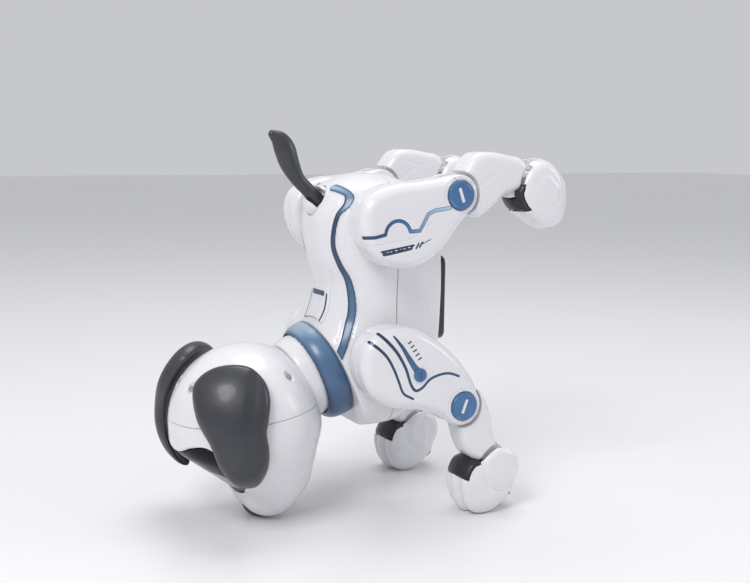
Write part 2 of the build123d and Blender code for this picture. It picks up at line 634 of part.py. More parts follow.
def shin_part(leg, side, outer):
    """One half of the shin: calf, knee tongue and ankle tongue, with half of the ankle pin."""
    knee, ankle = leg["knee"], leg["ankle"]
    far = SHIN_HALF if outer else -SHIN_HALF
    sign = 1 if outer else -1
    outline = [(knee[0] + x, knee[1] + z) for x, z in leg["calf"]]
    reach = math.hypot(ankle[0] - knee[0], ankle[1] - knee[1])
    ahead = ((ankle[0] - knee[0]) / reach, (ankle[1] - knee[1]) / reach)
    across = (-ahead[1], ahead[0])

    def strip(centre, start, end, half_width):
        corners = ((start, -half_width), (end, -half_width), (end, half_width), (start, half_width))
        return [(centre[0] + ahead[0] * a + across[0] * b, centre[1] + ahead[1] * a + across[1] * b)
                for a, b in corners]

    with BuildPart() as half:
        low, high = span(side, LEG_MID, LEG_MID + far)
        layer_curve(outline, low, high)
        outside = half.faces().sort_by(Axis.Y)[-1 if far * side > 0 else 0]
        fillet(outside.edges(), 2.2)
        middle = (sum(x for x, _ in outline) / len(outline), sum(z for _, z in outline) / len(outline))
        core = [(middle[0] + (x - middle[0]) * 0.55, middle[1] + (z - middle[1]) * 0.55) for x, z in outline]
        layer_curve(core, *span(side, LEG_MID, LEG_MID + far - sign * WALL), mode=Mode.SUBTRACT)
        layer_circle(knee, KNEE_RELIEF, low, high, mode=Mode.SUBTRACT)
        layer_circle(ankle, ANKLE_RADIUS + GAP, low, high, mode=Mode.SUBTRACT)
        knee_low, knee_high = span(side, LEG_MID, LEG_MID + sign * KNEE_TONGUE)
        layer_circle(knee, KNEE_RADIUS - 1.0, knee_low, knee_high)
        layer_polygon(strip(knee, 0, 24, 9), knee_low, knee_high)
        ankle_low, ankle_high = span(side, LEG_MID, LEG_MID + sign * ANKLE_TONGUE)
        layer_circle(ankle, ANKLE_HUB, ankle_low, ankle_high)
        layer_polygon(strip(ankle, -24, 0, 6.5), ankle_low, ankle_high)
        layer_circle(knee, PIN_RADIUS + RUN, low, high, mode=Mode.SUBTRACT)
        layer_circle(ankle, PIN_RADIUS, *span(side, LEG_MID, LEG_MID + sign * (PAW_HALF - 2)))
    return half.part


def place_paw(leg, points):
    """Points of the paw's own frame in the side view."""
    turned = [turn_xz(x, z, leg["paw_turn"]) for x, z in points]
    return [(leg["ankle"][0] + x, leg["ankle"][1] + z) for x, z in turned]


def boot_part(leg, side):
    """Black pad at the instep, fixed to the paw just under the calf's end."""
    outline = place_paw(leg, leg["boot"])
    calf = [(leg["knee"][0] + x, leg["knee"][1] + z) for x, z in leg["calf"]]
    towards = (Vector(*outline[2]) - Vector(*calf[3])).normalized() * (GAP + 0.3)
    layer = span(side, LEG_MID - PAW_HALF, LEG_MID + PAW_HALF)
    slot = span(side, LEG_MID - ANKLE_TONGUE - GAP, LEG_MID + ANKLE_TONGUE + GAP)
    with BuildPart() as pad:
        layer_polygon(outline, *span(side, LEG_MID - BOOT_HALF, LEG_MID + BOOT_HALF), corner=1.5)
        layer_curve([(x + towards.X, z + towards.Y) for x, z in calf], *layer, mode=Mode.SUBTRACT)
        layer_polygon(place_paw(leg, NOTCH), *slot, mode=Mode.SUBTRACT)
        layer_circle(leg["ankle"], ANKLE_HUB + GAP, *slot, mode=Mode.SUBTRACT)
    return pad.part


def paw_part(leg, side, boot):
    """A three-toed paw with round cheeks either side of the shin's tongue and a roller in its sole."""
    centres = place_paw(leg, [(x, z) for x, z, _ in PAW_CIRCLES])
    circles = [(*centre, radius) for centre, (_, _, radius) in zip(centres, PAW_CIRCLES)]
    low, high = span(side, LEG_MID - PAW_HALF, LEG_MID + PAW_HALF)
    with BuildPart() as foot:
        layer_hull(circles, low, high)
        for face in (foot.faces().sort_by(Axis.Y)[0], foot.faces().sort_by(Axis.Y)[-1]):
            fillet(face.edges(), 6.0)
        # the gap between the cheeks, open towards the shin
        slot = span(side, LEG_MID - ANKLE_TONGUE - GAP, LEG_MID + ANKLE_TONGUE + GAP)
        layer_circle(leg["ankle"], ANKLE_HUB + GAP, *slot, mode=Mode.SUBTRACT)
        layer_polygon(place_paw(leg, NOTCH), *slot, mode=Mode.SUBTRACT)
        # room for the boot at the instep, between two side rims
        room = span(side, LEG_MID - BOOT_HALF, LEG_MID + BOOT_HALF)
        layer_polygon(place_paw(leg, BOOT_ROOM), *room, mode=Mode.SUBTRACT)
        # the paw is hollow between its side walls
        core = span(side, LEG_MID - PAW_CORE, LEG_MID + PAW_CORE)
        layer_hull(circles[1:], *core, grow=-PAW_WALL, mode=Mode.SUBTRACT)
        # grooves between the toes
        for offset_y in (-PAW_HALF / 3, PAW_HALF / 3):
            middle = side * LEG_MID + offset_y
            plane, depth = side_face(middle - TOE_GROOVE["half"], middle + TOE_GROOVE["half"])
            with BuildSketch(plane):
                with Locations(place_paw(leg, [TOES])[0]):
                    Circle(TOE_GROOVE["outer"])
                    Circle(TOE_GROOVE["inner"], mode=Mode.SUBTRACT)
                with BuildLine():
                    Polyline(*place_paw(leg, BEHIND_TOES), close=True)
                make_face(mode=Mode.SUBTRACT)
            extrude(amount=depth, mode=Mode.SUBTRACT)
        bore = span(side, LEG_MID - PAW_HALF + 2, LEG_MID + PAW_HALF - 2)
        layer_circle(leg["ankle"], PIN_RADIUS + RUN, *bore, mode=Mode.SUBTRACT)
        hub_x, hub_z, radius, half_width = ROLLER
        wheel = place_paw(leg, [(hub_x, hub_z)])[0]
        pocket = span(side, LEG_MID - half_width - GAP, LEG_MID + half_width + GAP)
        layer_circle(wheel, radius + ROLLER_ROOM, *pocket, mode=Mode.SUBTRACT)
        layer_circle(wheel, ROLLER_AXLE + RUN, *span(side, LEG_MID - PAW_CORE - 3, LEG_MID + PAW_CORE + 3),
                     mode=Mode.SUBTRACT)
        split(bisect_by=Plane.XY, keep=Keep.TOP)
        add(boot, mode=Mode.SUBTRACT)
    return foot.part


def roller_part(leg, side):
    """Sole roller with its two stub axles."""
    hub_x, hub_z, radius, half_width = ROLLER
    wheel = place_paw(leg, [(hub_x, hub_z)])[0]
    with BuildPart() as roller:
        layer_circle(wheel, radius, *span(side, LEG_MID - half_width, LEG_MID + half_width))
        fillet(roller.edges().filter_by(GeomType.CIRCLE), 0.8)
        layer_circle(wheel, ROLLER_AXLE, *span(side, LEG_MID - PAW_CORE - 2.7, LEG_MID + PAW_CORE + 2.7))
    return roller.part


for leg_name, leg in LEGS.items():
    for side_name, side in SIDES.items():
        prefix = f"{leg_name}_{side_name}"
        save(thigh_part(leg, side, True), f"{prefix}_thigh_outer")
        save(thigh_part(leg, side, False), f"{prefix}_thigh_inner")
        save(knee_cap_part(leg, side), f"{prefix}_knee_cap")
        save(shin_part(leg, side, True), f"{prefix}_shin_outer")
        save(shin_part(leg, side, False), f"{prefix}_shin_inner")
        boot = boot_part(leg, side)
        save(boot, f"{prefix}_ankle_boot")
        save(paw_part(leg, side, boot), f"{prefix}_paw")
        save(roller_part(leg, side), f"{prefix}_paw_roller")

# Small blue buttons on the front thighs, just outboard of the shoulder
for side_name, side in SIDES.items():
    with BuildPart() as button:
        layer_circle(BUTTON["centre"], BUTTON["radius"], *span(side, THIGH_OUT, THIGH_OUT + BUTTON["proud"]))
    save(button.part, f"front_{side_name}_shoulder_disc")
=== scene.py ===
"""Looks of the robot dog toy: moulded shells, printed lines, ears, visor and studio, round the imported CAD.

Each outer shell is a distance field in millimetres, in the frame's axes, meshed and laid over the CAD node
that it stands for. The left legs and the left ear are made once and mirrored for the right side.
x runs from the dog's back to its belly, y to its right side, and z up; "side view" means x and z.
"""
import json
import math

import bpy
import numpy as np
import openvdb
from mathutils import Matrix, Vector


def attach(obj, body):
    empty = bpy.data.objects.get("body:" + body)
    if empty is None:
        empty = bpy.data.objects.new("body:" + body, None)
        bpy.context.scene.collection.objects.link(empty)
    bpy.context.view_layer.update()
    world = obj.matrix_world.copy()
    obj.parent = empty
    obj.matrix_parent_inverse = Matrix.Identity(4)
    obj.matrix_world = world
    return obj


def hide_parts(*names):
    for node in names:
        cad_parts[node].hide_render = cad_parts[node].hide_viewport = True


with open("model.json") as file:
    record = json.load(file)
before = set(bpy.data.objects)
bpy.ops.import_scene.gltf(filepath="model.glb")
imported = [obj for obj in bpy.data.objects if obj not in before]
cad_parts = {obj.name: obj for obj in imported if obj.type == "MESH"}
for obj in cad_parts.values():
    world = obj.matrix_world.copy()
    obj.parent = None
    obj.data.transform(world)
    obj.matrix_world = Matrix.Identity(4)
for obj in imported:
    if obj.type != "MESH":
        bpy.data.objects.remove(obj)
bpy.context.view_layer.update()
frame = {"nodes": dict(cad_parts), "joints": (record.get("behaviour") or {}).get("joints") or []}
JOINTS = {joint["name"]: joint for joint in frame["joints"]}
MM = 0.001


# ---- Curves and distances in the side view ----
def pivot(joint):
    """A joint's axis point at rest, in millimetres."""
    return np.array(JOINTS[joint]["pos_m"]) / MM


def smooth(points, closed=True, steps=8):
    """A smooth line through the points."""
    p = np.array(points, float)
    if closed:
        p = np.vstack([p[-1:], p, p[:2]])
    else:
        p = np.vstack([2 * p[0] - p[1], p, 2 * p[-1] - p[-2]])
    t = np.arange(steps)[:, None] / steps
    runs = []
    for a, b, c, d in zip(p[:-3], p[1:-2], p[2:-1], p[3:]):
        runs.append(0.5 * (2 * b + (c - a) * t + (2 * a - 5 * b + 4 * c - d) * t**2
                           + (3 * b - a - 3 * c + d) * t**3))
    line = np.vstack(runs)
    return line if closed else np.vstack([line, p[-2]])


def arc(x, z, radius, start, end, steps=10):
    """Points on a circle's arc, between two angles in degrees."""
    angles = np.radians(np.linspace(start, end, steps))
    return [(x + radius * math.cos(a), z + radius * math.sin(a)) for a in angles]


def to_line(x, z, line):
    """Distance from (x, z) to a line of points, and how far along it the nearest place is, 0 to 1."""
    best = np.full(np.broadcast(x, z).shape, 1e6)
    way = np.zeros(best.shape)
    lengths = np.hypot(*np.diff(line, axis=0).T)
    starts = np.concatenate([[0], np.cumsum(lengths)])
    for a, b, length, start in zip(line[:-1], line[1:], lengths, starts):
        if length < 1e-9:
            continue
        u = ((x - a[0]) * (b[0] - a[0]) + (z - a[1]) * (b[1] - a[1])) / length**2
        u = np.clip(u, 0, 1)
        distance = np.hypot(x - a[0] - u * (b[0] - a[0]), z - a[1] - u * (b[1] - a[1]))
        nearer = distance < best
        best = np.where(nearer, distance, best)
        way = np.where(nearer, (start + u * length) / starts[-1], way)
    return best, way


def inside(x, z, loop):
    """True where (x, z) is within a closed line."""
    found = np.zeros(np.broadcast(x, z).shape, bool)
    for a, b in zip(loop, np.roll(loop, -1, axis=0)):
        if a[1] == b[1]:
            continue
        crosses = (a[1] > z) != (b[1] > z)
        found ^= crosses & (x < (b[0] - a[0]) * (z - a[1]) / (b[1] - a[1]) + a[0])
    return found


class Table:
    """A side-view quantity kept on a fine square lattice and read back between its places."""

    def __init__(self, low, high, make, step=0.4):
        self.low, self.step = np.array(low, float), step
        count = np.ceil((np.array(high) - self.low) / step).astype(int) + 1
        x = self.low[0] + step * np.arange(count[0])[:, None]
        z = self.low[1] + step * np.arange(count[1])[None, :]
        self.values = make(x, z)

    def __call__(self, x, z):
        u = np.clip((x - self.low[0]) / self.step, 0, self.values.shape[0] - 1.001)
        v = np.clip((z - self.low[1]) / self.step, 0, self.values.shape[1] - 1.001)
        i, j = np.floor(u).astype(int), np.floor(v).astype(int)
        u, v = u - i, v - j
        t = self.values
        return (t[i, j] * (1 - u) * (1 - v) + t[i + 1, j] * u * (1 - v)
                + t[i, j + 1] * (1 - u) * v + t[i + 1, j + 1] * u * v)


def table_pair(low, high, make):
    """Two tables from a function that gives two quantities."""
    return [Table(low, high, lambda x, z, k=k: make(x, z)[k]) for k in range(2)]


def outline(loop, margin=16.0):
    """Signed distance to a closed line, below zero inside it."""
    loop = np.array(loop, float)
    ring = np.vstack([loop, loop[:1]])

    def make(x, z):
        return np.where(inside(x, z, loop), -1.0, 1.0) * to_line(x, z, ring)[0]

    return Table(loop.min(0) - margin, loop.max(0) + margin, make)


# ---- Distance fields ----
def join(a, b, soft):
    """Union of two fields with a rounded valley."""
    h = np.maximum(soft - np.abs(a - b), 0) / soft
    return np.minimum(a, b) - h * h * soft / 4


def common(a, b, soft):
    """What two fields share, with a rounded edge."""
    return -join(-a, -b, soft)


def cut(a, b, soft):
    """Field a without field b, with a rounded edge."""
    return -join(-a, b, soft)


def slab(flat, across, rounding):
    """A flat outline given a thickness, with rounded edges."""
    a, b = flat + rounding, across + rounding
    return np.hypot(np.maximum(a, 0), np.maximum(b, 0)) + np.minimum(np.maximum(a, b), 0) - rounding


def groove(distance, half, depth):
    """How far a surface sinks next to a line that lies distance away."""
    return depth * np.clip(1.2 - np.abs(distance) / half, 0, 1)


def round_cone(x, y, z, a, b, radius_a, radius_b):
    """Two balls under one straight skin."""
    a, b = np.array(a, float), np.array(b, float)
    line = b - a
    length2 = line @ line
    drop = radius_a - radius_b
    slope = length2 - drop * drop
    px, py, pz = x - a[0], y - a[1], z - a[2]
    way = px * line[0] + py * line[1] + pz * line[2]
    beyond = way - length2
    square = ((px * length2 - line[0] * way) ** 2 + (py * length2 - line[1] * way) ** 2
              + (pz * length2 - line[2] * way) ** 2)
    k = np.sign(drop) * drop * drop * square
    side = (np.sqrt(square * slope / length2) + way * drop) / length2 - radius_a
    near_b = np.sqrt(square + beyond**2 * length2) / length2 - radius_b
    near_a = np.sqrt(square + way**2 * length2) / length2 - radius_a
    result = np.where(np.sign(way) * slope * way**2 * length2 < k, near_a, side)
    return np.where(np.sign(beyond) * slope * beyond**2 * length2 > k, near_b, result)


def along(direction, dx, dy, dz):
    return dx * direction[0] + dy * direction[1] + dz * direction[2]


def radius_from(centre, x, z):
    """Side-view distance from an axis that runs across the dog."""
    return np.hypot(x - centre[0], z - centre[2])


def ball(x, y, z, centre, radius):
    return np.sqrt((x - centre[0]) ** 2 + (y - centre[1]) ** 2 + (z - centre[2]) ** 2) - radius


# ---- Meshes from fields ----
def gradient(field, p, step=0.12):
    """The field's slope at each of the points p."""
    parts = []
    for k in range(3):
        e = np.zeros(3)
        e[k] = step
        parts.append((field(*(p + e).T) - field(*(p - e).T)) / (2 * step))
    return np.stack(parts, axis=1)


def surface(field, low, high, voxel):
    """Vertices in millimetres on the field's zero surface, quads, and the normal at each vertex."""
    low = np.array(low, float) - 2 * voxel
    count = np.ceil((np.array(high) + 2 * voxel - low) / voxel).astype(int) + 1
    x = low[0] + voxel * np.arange(count[0])[:, None, None]
    y = low[1] + voxel * np.arange(count[1])[None, :, None]
    z = low[2] + voxel * np.arange(count[2])[None, None, :]
    values = np.broadcast_to(field(x, y, z), count).astype(np.float32)
    band = 3 * voxel
    grid = openvdb.FloatGrid(band)
    grid.copyFromArray(np.ascontiguousarray(np.clip(values, -band, band)))
    points, quads = grid.convertToQuads(0.0)
    points = np.array(points, float) * voxel + low
    for _ in range(2):
        value = field(*points.T)
        slope = gradient(field, points)
        size = np.maximum((slope**2).sum(axis=1), 0.2)
        move = -slope * (value / size)[:, None]
        reach = np.linalg.norm(move, axis=1)
        move *= (np.minimum(reach, 0.4 * voxel) / np.maximum(reach, 1e-9))[:, None]
        points += move
    quads = np.array(quads, int)
    corners = points[quads]
    normal = np.cross(corners[:, 2] - corners[:, 0], corners[:, 3] - corners[:, 1])
    if (normal * corners.mean(axis=1)).sum() < 0:
        quads = quads[:, ::-1]
    slope = gradient(field, points)
    return points, quads, slope / np.maximum(np.linalg.norm(slope, axis=1), 1e-6)[:, None]


def new_mesh(name, points, quads, normals, marks):
    """A smooth mesh from millimetre points, with one float attribute per mark."""
    mesh = bpy.data.meshes.new(name)
    mesh.vertices.add(len(points))
    mesh.vertices.foreach_set("co", (points * MM).astype(np.float32).ravel())
    mesh.loops.add(4 * len(quads))
    mesh.loops.foreach_set("vertex_index", quads.astype(np.int32).ravel())
    mesh.polygons.add(len(quads))
    mesh.polygons.foreach_set("loop_start", 4 * np.arange(len(quads), dtype=np.int32))
    mesh.update(calc_edges=True)
    mesh.validate()
    mesh.shade_smooth()
    mesh.normals_split_custom_set_from_vertices(normals)
    for mark, values in marks.items():
        attribute = mesh.attributes.new(mark, "FLOAT", "POINT")
        attribute.data.foreach_set("value", np.broadcast_to(values, len(points)).astype(np.float32))
    return mesh


def place(name, mesh, material, body, nodes):
    """Add a piece that rides on a body and stands for the CAD nodes named."""
    piece = bpy.data.objects.new(name, mesh)
    bpy.context.scene.collection.objects.link(piece)
    piece.data.materials.append(material)
    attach(piece, body)
    if nodes:
        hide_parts(*nodes)
    return piece


def build(name, field, low, high, voxel, material, body, nodes=(), marks=None):
    """A piece from a field, and its mirror image too where the names hold {side}.

    marks maps an attribute's name to a function of the vertices.
    """
    points, quads, normals = surface(field, low, high, voxel)
    values = {mark: make(*points.T) for mark, make in (marks or {}).items()}
    for side in ("left", "right") if "{side}" in name else ("",):
        if side == "right":
            points, normals = points * (1, -1, 1), normals * (1, -1, 1)
            quads = quads[:, ::-1]
        label = name.format(side=side)
        mesh = new_mesh(label, points, quads, normals, values)
        place(label, mesh, material, body.format(side=side), [node.format(side=side) for node in nodes])


# ---- Materials ----
class Shader:
    """A material's node tree with short ways to add nodes."""

    def __init__(self, name):
        self.material = bpy.data.materials.new(name)
        self.material.use_nodes = True
        self.tree = self.material.node_tree
        self.tree.nodes.clear()
        self.out = self.tree.nodes.new("ShaderNodeOutputMaterial")
        self.bsdf = self.tree.nodes.new("ShaderNodeBsdfPrincipled")
        self.link(self.bsdf.outputs[0], self.out.inputs[0])
        self.where = self.tree.nodes.new("ShaderNodeTexCoord").outputs["Object"]

    def link(self, source, target):
        self.tree.links.new(source, target)

    def feed(self, socket, value):
        """Link a node's output to a socket, or set a plain value on it."""
        if isinstance(value, bpy.types.NodeSocket):
            self.link(value, socket)
        else:
            socket.default_value = value

    def set(self, **values):
        for key, value in values.items():
            self.feed(self.bsdf.inputs[key.replace("_", " ")], value)

    def noise(self, scale, detail=3.0, roughness=0.55):
        node = self.tree.nodes.new("ShaderNodeTexNoise")
        self.feed(node.inputs["Vector"], self.where)
        node.inputs["Scale"].default_value = scale
        node.inputs["Detail"].default_value = detail
        node.inputs["Roughness"].default_value = roughness
        return node.outputs["Fac"]

    def math(self, operation, a, b=0.0):
        node = self.tree.nodes.new("ShaderNodeMath")
        node.operation = operation
        for socket, value in zip(node.inputs, (a, b)):
            self.feed(socket, value)
        return node.outputs[0]

    def span(self, value, low, high, to_low, to_high):
        node = self.tree.nodes.new("ShaderNodeMapRange")
        for key, number in (("From Min", low), ("From Max", high), ("To Min", to_low), ("To Max", to_high)):
            node.inputs[key].default_value = number
        self.feed(node.inputs["Value"], value)
        return node.outputs["Result"]

    def mix(self, factor, a, b):
        node = self.tree.nodes.new("ShaderNodeMix")
        node.data_type = "RGBA"
        self.feed(node.inputs["Factor"], factor)
        self.feed(node.inputs["A"], a)
        self.feed(node.inputs["B"], b)
        return node.outputs["Result"]

    def ramp(self, value, stops):
        node = self.tree.nodes.new("ShaderNodeValToRGB")
        self.feed(node.inputs[0], value)
        elements = node.color_ramp.elements
        while len(elements) < len(stops):
            elements.new(1.0)
        for element, (position, colour) in zip(elements, stops):
            element.position = position
            element.color = colour
        return node.outputs["Color"]

    def mark(self, name):
        node = self.tree.nodes.new("ShaderNodeAttribute")
        node.attribute_name = name
        return node.outputs["Fac"]

    def bump(self, height, distance, strength=1.0):
        node = self.tree.nodes.new("ShaderNodeBump")
        node.inputs["Distance"].default_value = distance
        node.inputs["Strength"].default_value = strength
        self.feed(node.inputs["Height"], height)
        self.feed(self.bsdf.inputs["Normal"], node.outputs["Normal"])


def rgb(red, green, blue):
    return (red, green, blue, 1.0)


WHITE = rgb(0.72, 0.72, 0.765)
WHITE_WARM = rgb(0.76, 0.755, 0.775)
NAVY = rgb(0.008, 0.024, 0.065)
BLUE = rgb(0.04, 0.14, 0.32)
PALE = rgb(0.42, 0.55, 0.68)
DIRT = rgb(0.55, 0.54, 0.55)
LATTICE_PITCH = 2.3     # millimetres between the holes of the eye panel, along a diagonal


def worn(shader, colour):
    """A colour with faint handling marks: soft blotches and a few small specks."""
    blotch = shader.span(shader.noise(30.0, 2.0), 0.35, 0.85, 0.0, 0.10)
    scuff = shader.span(shader.noise(900.0, 2.0, 0.8), 0.72, 0.80, 0.0, 0.10)
    return shader.mix(shader.math("ADD", blotch, scuff), colour, DIRT)


def white_plastic(inked):
    """Glossy white moulded plastic, with printed blue lines where the piece has marks for them."""
    shader = Shader("white_plastic_printed" if inked else "white_plastic")
    base = shader.mix(shader.noise(22.0), WHITE, WHITE_WARM)
    colour = worn(shader, base)
    grain = shader.noise(1500.0, 2.0)
    roughness = shader.span(shader.noise(60.0), 0.3, 0.7, 0.20, 0.30)
    if inked:
        paint = shader.ramp(shader.mark("tone"), [(0.0, NAVY), (0.5, BLUE), (1.0, PALE)])
        shade = shader.mix(shader.span(shader.mark("ink"), -0.45, -0.05, 0.0, 1.0), paint, NAVY)
        mask = shader.span(shader.mark("ink"), -0.06, 0.10, 1.0, 0.0)
        colour = shader.mix(mask, colour, shade)
    shader.set(Base_Color=colour, Roughness=roughness)
    shader.set(Coat_Weight=0.35, Coat_Roughness=0.08, IOR=1.49)
    shader.bump(grain, 0.00006, 0.35)
    return shader.material


def moulded(name, low, high, rough, grain=900.0, depth=0.00012, coat=0.0, dust=None):
    """Coloured plastic: two close colours, a roughness range, moulded grain, and lighter dust on top."""
    shader = Shader(name)
    colour = shader.mix(shader.span(shader.noise(30.0, 4.0), 0.3, 0.7, 0.0, 1.0), low, high)
    if dust:
        specks = shader.span(shader.noise(700.0, 3.0, 0.7), 0.62, 0.80, 0.0, 0.35)
        colour = shader.mix(specks, colour, dust)
    shader.set(Base_Color=colour, Roughness=shader.span(shader.noise(90.0), 0.3, 0.7, *rough))
    shader.set(Coat_Weight=coat, Coat_Roughness=0.1)
    shader.bump(shader.noise(grain, 2.0), depth, 0.5)
    return shader.material


def blue_trim():
    """Satin steel blue that pales where the mark named tone rises; on the collar the pale end is a painted
    sheen and the darkest tones at the band's edges a painted shade.
    """
    shader = Shader("steel_blue_trim")
    tone = shader.math("ADD", shader.mark("tone"), shader.span(shader.noise(40.0), 0.3, 0.7, -0.04, 0.04))
    colour = shader.ramp(tone, [(0.0, rgb(0.012, 0.03, 0.075)), (0.35, rgb(0.042, 0.10, 0.20)),
                                (0.7, rgb(0.10, 0.19, 0.32)), (1.0, rgb(0.42, 0.52, 0.62))])
    shader.set(Base_Color=colour, Roughness=shader.span(shader.noise(70.0), 0.3, 0.7, 0.28, 0.38))
    shader.set(Coat_Weight=0.3, Coat_Roughness=0.15)
    shader.bump(shader.noise(1300.0, 2.0), 0.00008, 0.4)
    return shader.material


def visor_glass():
    """Dark glossy window with the pale lattice of a light panel showing through round each eye."""
    shader = Shader("visor_with_light_panel")
    split = shader.tree.nodes.new("ShaderNodeSeparateXYZ")
    shader.link(shader.where, split.inputs[0])
    across = shader.math("MULTIPLY", split.outputs["Y"], 1.0 / MM)
    height = shader.math("MULTIPLY", split.outputs["Z"], 1.0 / MM)
    cells = []
    for operation in ("ADD", "SUBTRACT"):
        diagonal = shader.math("DIVIDE", shader.math(operation, across, height), LATTICE_PITCH)
        cells.append(shader.math("ABSOLUTE", shader.math("SUBTRACT", shader.math("FRACT", diagonal), 0.5)))
    hole = shader.math("MAXIMUM", cells[0], cells[1])
    lattice = shader.span(hole, 0.25, 0.32, 0.0, 1.0)
    panel = shader.span(shader.mark("panel"), -0.4, 0.4, 1.0, 0.0)
    light = shader.math("MULTIPLY", lattice, panel)
    glass = shader.mix(shader.noise(30.0), rgb(0.004, 0.0045, 0.006), rgb(0.008, 0.009, 0.011))
    shader.set(Base_Color=shader.mix(light, glass, rgb(0.50, 0.51, 0.53)))
    shader.set(Roughness=shader.span(shader.noise(50.0), 0.3, 0.7, 0.20, 0.28))
    shader.set(Specular_IOR_Level=0.15)
    return shader.material


def steel():
    """Zinc-plated screws."""
    shader = Shader("zinc_plated_steel")
    colour = shader.mix(shader.noise(300.0), rgb(0.48, 0.48, 0.50), rgb(0.66, 0.66, 0.68))
    roughness = shader.span(shader.noise(800.0), 0.3, 0.7, 0.25, 0.45)
    shader.set(Base_Color=colour, Metallic=1.0, Roughness=roughness)
    shader.bump(shader.noise(2500.0), 0.00005, 0.4)
    return shader.material


def circuit_board():
    """Green board with copper tracks and a speckle of pads."""
    shader = Shader("circuit_board")
    cells = shader.tree.nodes.new("ShaderNodeTexVoronoi")
    cells.distance = "CHEBYCHEV"
    cells.feature = "F1"
    shader.link(shader.where, cells.inputs["Vector"])
    cells.inputs["Scale"].default_value = 320.0
    track = shader.span(cells.outputs["Distance"], 0.30, 0.34, 0.0, 1.0)
    colour = shader.mix(track, rgb(0.01, 0.09, 0.04), rgb(0.03, 0.20, 0.09))
    shader.set(Base_Color=colour, Roughness=0.4)
    shader.bump(track, 0.00005, 0.6)
    return shader.material


PLAIN_WHITE = white_plastic(False)
PRINTED_WHITE = white_plastic(True)
TRIM = blue_trim()
CAP_BLUE = moulded("cap_blue", rgb(0.032, 0.105, 0.25), rgb(0.055, 0.16, 0.35), (0.25, 0.36), coat=0.3)
SLATE = moulded("slate_plastic", rgb(0.026, 0.028, 0.036), rgb(0.038, 0.041, 0.051), (0.34, 0.44),
                grain=1100.0, depth=0.00012, coat=0.15, dust=rgb(0.09, 0.09, 0.10))
GLOSS_BLACK = moulded("gloss_black", rgb(0.008, 0.009, 0.010), rgb(0.014, 0.015, 0.017), (0.10, 0.18),
                      coat=0.5)
MATTE_BLACK = moulded("matte_black", rgb(0.018, 0.018, 0.02), rgb(0.03, 0.03, 0.032), (0.5, 0.65),
                      dust=rgb(0.08, 0.08, 0.08))
RUBBER = moulded("soft_black_rubber", rgb(0.012, 0.012, 0.013), rgb(0.022, 0.022, 0.023), (0.30, 0.45),
                 grain=700.0, depth=0.00018, dust=rgb(0.07, 0.07, 0.07))
INNER = moulded("inner_grey_plastic", rgb(0.20, 0.21, 0.22), rgb(0.28, 0.29, 0.30), (0.5, 0.6))
SLEEVE = moulded("battery_sleeve", rgb(0.03, 0.08, 0.30), rgb(0.05, 0.12, 0.38), (0.30, 0.40),
                 grain=200.0)
GLASS = visor_glass()
STEEL = steel()
BOARD = circuit_board()

# CAD nodes that stay as they are
CAD_LOOKS = {
    "belly_door": GLOSS_BLACK, "charging_port": MATTE_BLACK, "power_switch": MATTE_BLACK,
    "body_screws": STEEL, "battery_pack": SLEEVE, "main_board": BOARD, "chassis_frame": INNER,
    "leg_servos": MATTE_BLACK, "speaker": MATTE_BLACK, "neck_servo": MATTE_BLACK,
    "tail_socket": PLAIN_WHITE, "nose": GLOSS_BLACK, "eye_board": BOARD, "head_screws": STEEL,
}
CAD_LOOKS.update({node: RUBBER for node in frame["nodes"] if node.endswith("_paw_roller")})
for node, material in CAD_LOOKS.items():
    mesh = frame["nodes"][node].data
    mesh.materials.clear()
    mesh.materials.append(material)

# ---- Torso ----
WALL = 2.4
SEAM_X = 12.0
# z, back x, belly x, half width, corner radius
TORSO = np.array([
    (58, -20, 20, 20, 18), (63, -31, 32, 30, 27), (76, -41, 46, 37, 33), (96, -45, 55, 39.3, 34),
    (116, -41, 58, 39.3, 34), (134, -30, 59.5, 38.5, 34), (152, -26, 60, 38.5, 34), (172, -31, 59, 39, 34),
    (192, -35, 56.5, 39.3, 34), (208, -32, 50, 37.5, 33), (220, -24, 37, 30, 27), (228, -8, 18, 14, 12),
], float)
TORSO_STEPS = smooth(TORSO, closed=False, steps=12)
COLLAR = pivot("head_turn")
NECK = np.array(JOINTS["head_turn"]["axis"], float)
COLLAR_HALF, COLLAR_RADIUS = 8.5, 37.0
NECK_RADIUS = 28.6
TAIL_PIVOT = pivot("tail_wag")
SOCKET_RADIUS = 10.6
DOOR = {"x": 57.5, "half": 15.0, "z": (112.0, 171.0)}
HIP_HOLE = 6.3
# Side view and half width of the blue stripe, from the rump to the collar
STRIPE = [(-37, 218.4, 1.2), (-30, 219.8, 2.0), (-23.5, 219.3, 2.8), (-18.6, 215, 2.6), (-20.8, 209, 1.6),
          (-26.2, 202, 0.95), (-28.6, 192, 0.85), (-28, 181, 0.85), (-24, 169.5, 1.1), (-18.8, 159, 1.5),
          (-16.6, 148, 1.9), (-17.4, 137, 2.1), (-21.6, 125.5, 2.1), (-28.5, 109, 2.2)]


def neck_distance(x, y, z):
    """How far a point lies beyond the collar's middle, towards the head."""
    return along(NECK, x - COLLAR[0], y - COLLAR[1], z - COLLAR[2])


def neck_radius(x, y, z):
    s = neck_distance(x, y, z)
    square = (x - COLLAR[0]) ** 2 + (y - COLLAR[1]) ** 2 + (z - COLLAR[2]) ** 2 - s * s
    return np.sqrt(np.maximum(square, 0))


